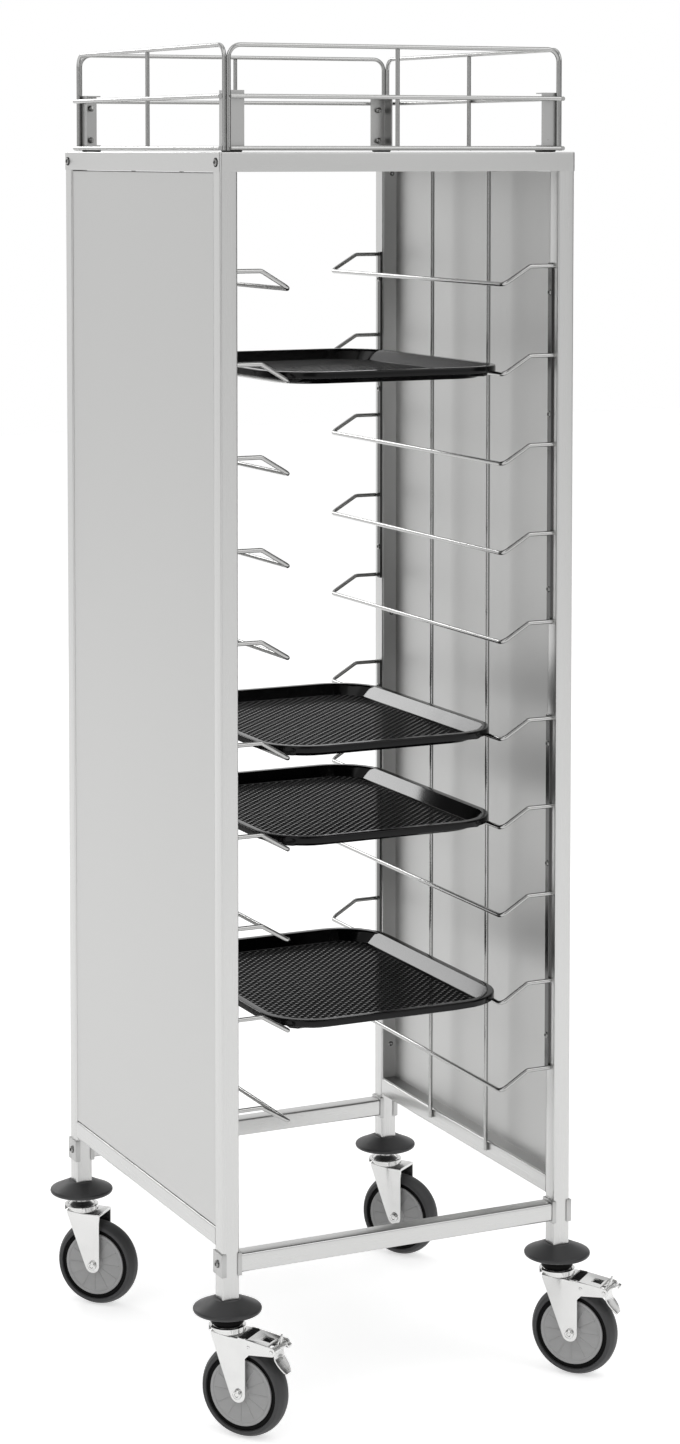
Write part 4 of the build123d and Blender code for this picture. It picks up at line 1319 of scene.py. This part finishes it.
class TROLLEY_OT_wheels(Step, bpy.types.Operator):
    """Mould the wheel discs with their radial ribs, and the tyres round them"""

    bl_idname = "trolley.wheels"
    bl_label = "Wheels"

    ribs = 12
    rib_place = 26.5 * MM  # the axle to the middle of a rib
    half_rib, half_rib_width = 13 * MM, 0.8 * MM
    half_disc = 14 * MM
    web = 12.7 * MM
    bore, hub, half_hub = 4.05 * MM, 11 * MM, 19.2 * MM
    bead, half_bead = 6.4 * MM, 11.5 * MM  # of the black ring beside the disc

    def make(self, sizes):
        disc, half = sizes.disc / 2, self.half_disc
        profile = rounded_profile(
            mirrored(
                [
                    (self.bore, self.half_hub, 0.3 * MM),
                    (self.hub, self.half_hub, 0.8 * MM),
                    (self.hub + 1 * MM, self.web, 1.5 * MM),
                    (disc - 5 * MM, self.web, 1.2 * MM),
                    (disc - 3.6 * MM, half, 0.6 * MM),
                    (disc, half, 0.4 * MM),
                ]
            ),
            steps=3,
        )
        for corner in CORNERS:
            caster = Caster(corner)
            parts = [piece("core", [turned(profile, caster.axle)], "moulded wheel disc")]
            for angle in (pi, 0):
                rings = []
                for inset, rise in ((0, -1 * MM), (0, 0.35 * MM), (0.3 * MM, 0.7 * MM)):
                    reach, width = self.half_rib - inset, self.half_rib_width - inset
                    rings.append(level_ring(reach, width, 0.4 * MM - inset / 2, rise, steps=2))
                rib = piece("rib", [solid(rings)], "moulded wheel disc")
                turn = Matrix.Rotation(angle, 4, "X")
                place = caster.axle @ turn @ Matrix.Translation((0, 0, self.web))
                parts.append(
                    parts_in_ring("ribs", rib, self.ribs, self.rib_place, "moulded wheel disc", place)
                )
            wheel = joined(parts, f"wheel_disc_{corner}")
            settled(wheel, caster.wheel, "wheel_plastic", f"wheel_{corner}")
            self.tyre(caster, sizes)

    def tyre(self, caster, sizes):
        """The tyre, with a black bead ring beside the disc."""
        tread, half, shelf = caster.hub.z, sizes.tyre_width / 2, self.half_bead
        inner = sizes.disc / 2
        groove = inner + self.bead
        side = [
            (groove, shelf, 0.4 * MM),
            (groove + 0.4 * MM, half, 1.0 * MM),
            (tread - 5.5 * MM, half, 3.0 * MM),
            (tread - 0.9 * MM, 6.5 * MM, 9.0 * MM),
            (tread, 0.8 * MM, 0),
        ]
        skin = turned(rounded_profile(mirrored(side), steps=6), caster.axle)
        tyre = piece(f"tread_{caster.corner}", [skin], "tyre rubber", radians(50))
        settled(tyre, caster.wheel, "tyre_rubber", f"tyre_{caster.corner}")
        section = [(inner, -shelf), (groove, -shelf), (groove, shelf), (inner, shelf)]
        bead = piece(f"bead_ring_{caster.corner}", [turned(section, caster.axle)], "black moulded ring")
        settled(bead, caster.wheel, "tyre_rubber")


class TROLLEY_OT_pedals(Step, bpy.types.Operator):
    """Press the brake pedals, each with a curved tongue, a lug and a rolled tip on its pin"""

    bl_idname = "trolley.pedals"
    bl_label = "Brake Pedals"

    sheet = 2.4 * MM
    pin, half_pin = 2.5 * MM, 23 * MM
    barrel, half_barrel = 4.6 * MM, 18 * MM
    # Each strip runs through stations of (out, up, half width) from the pivot, in millimetres.
    tongue_top = ((0, -3, 13), (0.2, -9, 13.2), (1.2, -14, 13.2), (4.5, -19, 13))
    tongue_foot = ((9, -24.5, 12), (13, -30, 9.5), (14.6, -32.6, 6.5))
    lug = ((0.5, 2, 6.5), (2.2, 8, 6.5), (3.6, 13, 4.5), (5.0, 18, 1.6))
    tip_run = ((2, 1, 5), (7, 3.6, 5), (12, 6.4, 5), (14.8, 7.4, 5))
    tip_roll = ((16.4, 6.2, 5), (16.2, 4.2, 5), (14.6, 3.6, 5))

    def make(self, sizes):
        for corner in BRAKED:
            caster = Caster(corner)
            pivot = caster.place.inverted() @ Vector(joints[f"brake_{corner}"]["pos_m"])
            place = caster.place @ Matrix.Translation(pivot) @ Matrix.Rotation(pi / 2, 4, "X")
            skins = [
                turned(rod(self.pin, self.half_pin, 0.8 * MM), place, 32),
                turned(rod(self.barrel, self.half_barrel, 0.4 * MM), place, 40),
            ]
            for stations in (self.tongue_top + self.tongue_foot, self.lug, self.tip_run + self.tip_roll):
                skins.append(self.strip(caster, pivot, stations))
            pedal = piece(f"pedal_{corner}", skins, "bright zinc plate")
            settled(pedal, f"pedal_{corner}", "zinc_steel", f"brake_pedal_{corner}")

    def strip(self, caster, pivot, stations):
        """A strip of sheet along its stations."""
        rings = []
        for index, (out, up, half) in enumerate(stations):
            before = stations[max(index - 1, 0)]
            after = stations[min(index + 1, len(stations) - 1)]
            run = Vector((after[0] - before[0], 0, after[1] - before[1])).normalized()
            normal = Vector((-run.z, 0, run.x))
            here = pivot + Vector((out, 0, up)) * MM
            section = rounded_rectangle(half * MM, self.sheet / 2, 0.9 * MM, steps=3)
            rings.append([caster.place @ (here + Vector((0, u, 0)) + normal * v) for u, v in section])
        return solid(rings)


class TROLLEY_OT_trays(Step, bpy.types.Operator):
    """Mould the trays, with a rolled rim, sloping walls, faceted corners and a floor of low pips"""

    bl_idname = "trolley.trays"
    bl_label = "Trays"

    corner_steps = 8
    floor_facet = 8.0 * MM
    flat_edge = 8.0 * MM
    least_corner = 4.0 * MM
    bowl_lead = 0.5 * MM  # the facets start this far before the wall
    # A pip's levels over the floor, and its radius there as a share of a square.
    pip_section = ((-0.1 * MM, 0.42), (0.25 * MM, 0.4), (0.7 * MM, 0.27))
    plain_edge = 5.0 * MM
    pip_corner = 12.0 * MM

    def make(self, sizes):
        for node in trays:
            tier = node.rsplit("_", 1)[1]
            low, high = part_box(node)
            middle, half = (low + high) / 2, (high - low) / 2
            drop = high.z - low.z
            sheet = sizes.tray_sheet
            slope = sizes.tray_slope / (drop - sheet)
            slant = sheet * (1 + slope * slope) ** 0.5
            wall_top = sizes.tray_rim + slant - sheet * slope
            floor_inset = sizes.tray_rim + slant + sizes.tray_slope - sheet * slope
            foot_inset = sizes.tray_rim + sizes.tray_slope
            upper = rounded_profile(
                [
                    (sheet, high.z - sizes.tray_lip, 0),
                    (0, high.z - sizes.tray_lip, 0.5 * MM),
                    (0, high.z, 2.2 * MM),
                    (wall_top, high.z, 1.6 * MM),
                    (floor_inset, low.z + sheet, 2.5 * MM),
                    (floor_inset + self.flat_edge, low.z + sheet, 0),
                ]
            )
            under = rounded_profile(
                [
                    (foot_inset + self.flat_edge, low.z, 0),
                    (foot_inset, low.z, 3 * MM),
                    (sizes.tray_rim, high.z - sheet, 0.5 * MM),
                    (sheet, high.z - sheet, 0.5 * MM),
                    (sheet, high.z - sizes.tray_lip, 0),
                ]
            )
            bowl = (wall_top, floor_inset)
            rings = [self.outline(inset, z, middle, half, sizes, bowl) for inset, z in upper]
            floor_ring = len(rings) - 1
            rings += [self.outline(inset, z, middle, half, sizes) for inset, z in under]
            name, skin = f"tray_moulding_{tier}", pan_skin(rings, floor_ring, wrap=False)
            moulding = piece(name, [skin], "glossy tray plastic", radians(24))
            place = Matrix.Translation((middle.x, middle.y, low.z + sheet))
            pips = self.pips(half.x - floor_inset, half.y - floor_inset, place, sizes)
            pressed = moulding.data.attributes.new("pressed", "FLOAT", "POINT")
            for vert, mark in zip(moulding.data.vertices, pressed.data):
                mark.value = 1.0 if abs(vert.co.z - low.z - sheet) < LEVEL else 0.0
            settled(joined([moulding, pips], name), f"tray_{tier}", "tray_plastic", node)

    def pips(self, half_across, half_deep, place, sizes):
        """The low pips on the floor, on every other square of a chequer."""
        rings = [round_ring(share * sizes.pip, z, 8) for z, share in self.pip_section]
        material, angle = "glossy tray plastic", radians(10)
        made = copies(
            "pips",
            piece("pip", [solid(rings)], material, angle),
            bpy.data.meshes.new("pips"),
            pip_tree,
            material,
            place,
            angle,
            Square=sizes.pip,
            Across=2 * int(half_across / sizes.pip) + 1,
            Deep=2 * int(half_deep / sizes.pip) + 1,
            Half_Across=half_across - self.plain_edge,
            Half_Deep=half_deep - self.plain_edge,
            Corner=self.pip_corner,
        )
        raised = made.data.attributes.new("raised", "FLOAT", "POINT")
        for mark in raised.data:
            mark.value = 1.0
        return made

    def outline(self, inset, z, middle, half, sizes, bowl=None):
        """The tray's outline at an inset, rounded at the rim and faceted in the bowl."""
        corner = max(sizes.tray_corner - inset, self.least_corner)
        faceted = bowl is not None and inset > bowl[0] - self.bowl_lead
        if faceted:
            share = min(1.0, max(0.0, (inset - bowl[0]) / (bowl[1] - bowl[0])))
            corner = sizes.facet + (self.floor_facet - sizes.facet) * share
        return level_ring(half.x - inset, half.y - inset, corner, z, middle, self.corner_steps, faceted)


class TROLLEY_OT_stage(Step, bpy.types.Operator):
    """Set the camera, the soft lamps and the pale floor"""

    bl_idname = "trolley.stage"
    bl_label = "Stage"

    camera_place = Vector((-1.9221, -4.0828, 1.7102))
    camera_turn = 0.4434
    camera_tilt = 0.0642
    focal_length = 79.34
    sensor = 36.0
    shift = (0.01184, -0.2537)
    floor_half = 14.0
    floor_lift = 0.55
    ceiling = 0.45
    ceiling_start, ceiling_end = 0.35, 0.7  # heights at which the screens fade into the ceiling
    brightest = 2.0
    aim = Vector((0, 0, 0.9))
    # Place and size in metres, and power in watts.
    lamps = {
        "key lamp": ((1.8, -2.8, 4.4), (3.2, 3.2), 42.0),
        "fill lamp": ((-2.6, -1.6, 4.2), (3.0, 3.0), 28.0),
        "top lamp": ((0.2, 0.8, 4.6), (3.0, 3.0), 18.0),
        "rear lamp": ((-0.95, 7.0, 4.3), (1.9, 1.3), 50.0),
    }
    # Each screen is a run of (degrees clockwise from the view, strength), with a dark gap on each side.
    screens = {
        "behind left": ((-170, 0.2), (-163, 0.95), (-122, 0.95), (-116, 0.1)),
        "left": ((-94, 0.1), (-84, 1.0), (-36, 1.0), (-30, 0.6)),
        "backdrop": ((-24, 1.0), (22, 1.0), (28, 0.1)),
        "narrow right": ((40, 0.1), (44, 0.9), (60, 0.9), (64, 0.1)),
        "behind right": ((104, 0.1), (110, 0.8), (163, 0.8), (170, 0.2)),
    }

    def make(self, sizes):
        scene = bpy.context.scene
        self.camera(scene)
        self.floor(scene)
        self.world(scene)
        for name, (place, size, power) in self.lamps.items():
            self.lamp(name, place, size, power)
        scene.view_settings.view_transform = "Standard"

    def camera(self, scene):
        """The camera at the photograph's viewpoint."""
        data = bpy.data.cameras.new("camera")
        data.sensor_width = self.sensor
        data.lens = self.focal_length
        data.shift_x, data.shift_y = self.shift
        data.clip_end = 60.0
        camera = linked("camera", data)
        camera.location = self.camera_place
        camera.rotation_euler = (pi / 2 - self.camera_tilt, 0, -self.camera_turn)
        scene.camera = camera

    def floor(self, scene):
        """A pale floor under the wheels."""
        mesh = bpy.data.meshes.new("floor")
        reach = self.floor_half
        corners = [(-reach, -reach, 0), (reach, -reach, 0), (reach, reach, 0), (-reach, reach, 0)]
        mesh.from_pydata(corners, [], [(0, 1, 2, 3)])
        mesh.materials.append(studio_floor("studio floor", scene.trolley_colours.floor, self.floor_lift))
        floor = linked("floor", mesh)

    def world(self, scene):
        """A white background, inside a ring of soft screens with dark gaps for the metal to show."""
        world = bpy.data.worlds.new("studio")
        world.use_nodes = True
        scene.world = world
        tree = world.node_tree
        background = tree.nodes["Background"]
        background.inputs["Color"].default_value = (1, 1, 1, 1)
        way = add(tree, "ShaderNodeTexCoord").outputs["Generated"]
        ahead = Vector((sin(self.camera_turn), cos(self.camera_turn), 0))
        aside = Vector((ahead.y, -ahead.x, 0))
        along, across = [
            add(tree, "ShaderNodeVectorMath", {0: way, 1: line}, operation="DOT_PRODUCT").outputs["Value"]
            for line in (ahead, aside)
        ]
        place = spread(tree, number(tree, "ARCTAN2", across, along), 0.0, 1.0, start=-pi, end=pi)
        ring = add(tree, "ShaderNodeValToRGB", {0: place})
        stops = ring.color_ramp.elements
        stops.remove(stops[-1])
        runs = [stop for screen in self.screens.values() for stop in screen]
        for index, (degrees, level) in enumerate(runs):
            stop = stops.new(degrees / 360 + 0.5) if index else stops[0]
            stop.position = degrees / 360 + 0.5
            stop.color = (level / self.brightest,) * 3 + (1,)
        height = add(tree, "ShaderNodeSeparateXYZ", {0: way}).outputs[2]
        upper = spread(tree, height, 0.0, 1.0, self.ceiling_start, self.ceiling_end)
        level = number(tree, "MULTIPLY", ring.outputs[0], self.brightest)
        domed = add(tree, "ShaderNodeMix", {0: upper, 2: level, 3: self.ceiling}).outputs[0]
        seen = add(tree, "ShaderNodeLightPath").outputs["Is Camera Ray"]
        strength = add(tree, "ShaderNodeMix", {0: seen, 2: domed, 3: 1.0}).outputs[0]
        tree.links.new(strength, background.inputs["Strength"])

    def lamp(self, name, place, size, power):
        """A soft rectangular lamp that looks at the middle of the trolley."""
        data = bpy.data.lights.new(name, "AREA")
        data.shape = "RECTANGLE"
        data.size, data.size_y = size
        data.energy = power
        lamp = linked(name, data)
        lamp.location = place
        lamp.rotation_euler = (self.aim - Vector(place)).to_track_quat("-Z", "Y").to_euler()
        lamp.visible_camera = False


OPERATORS = (
    TROLLEY_OT_tubes,
    TROLLEY_OT_deck,
    TROLLEY_OT_side_sheets,
    TROLLEY_OT_rail_fittings,
    TROLLEY_OT_racks,
    TROLLEY_OT_guards,
    TROLLEY_OT_gallery,
    TROLLEY_OT_gallery_fittings,
    TROLLEY_OT_fasteners,
    TROLLEY_OT_bumpers,
    TROLLEY_OT_stems,
    TROLLEY_OT_forks,
    TROLLEY_OT_axles,
    TROLLEY_OT_wheels,
    TROLLEY_OT_pedals,
    TROLLEY_OT_trays,
    TROLLEY_OT_stage,
)


class TROLLEY_PT_sidebar(bpy.types.Panel):
    """The steps that finish the trolley, in order"""

    bl_idname = "TROLLEY_PT_sidebar"
    bl_label = "Tray Trolley"
    bl_space_type = "VIEW_3D"
    bl_region_type = "UI"
    bl_category = "Trolley"

    def draw(self, context):
        for operator in OPERATORS:
            self.layout.operator(operator.bl_idname)


CLASSES = (TrolleySizes, TrolleyColours, *OPERATORS, TROLLEY_PT_sidebar)


def register():
    for kind in CLASSES:
        bpy.utils.register_class(kind)
    bpy.types.Scene.trolley_sizes = bpy.props.PointerProperty(type=TrolleySizes)
    bpy.types.Scene.trolley_colours = bpy.props.PointerProperty(type=TrolleyColours)


def unregister():
    del bpy.types.Scene.trolley_colours
    del bpy.types.Scene.trolley_sizes
    for kind in reversed(CLASSES):
        bpy.utils.unregister_class(kind)


def main():
    register()
    for operator in OPERATORS:
        group, name = operator.bl_idname.split(".")
        getattr(getattr(bpy.ops, group), name)()


if __name__ == "__main__":
    main()
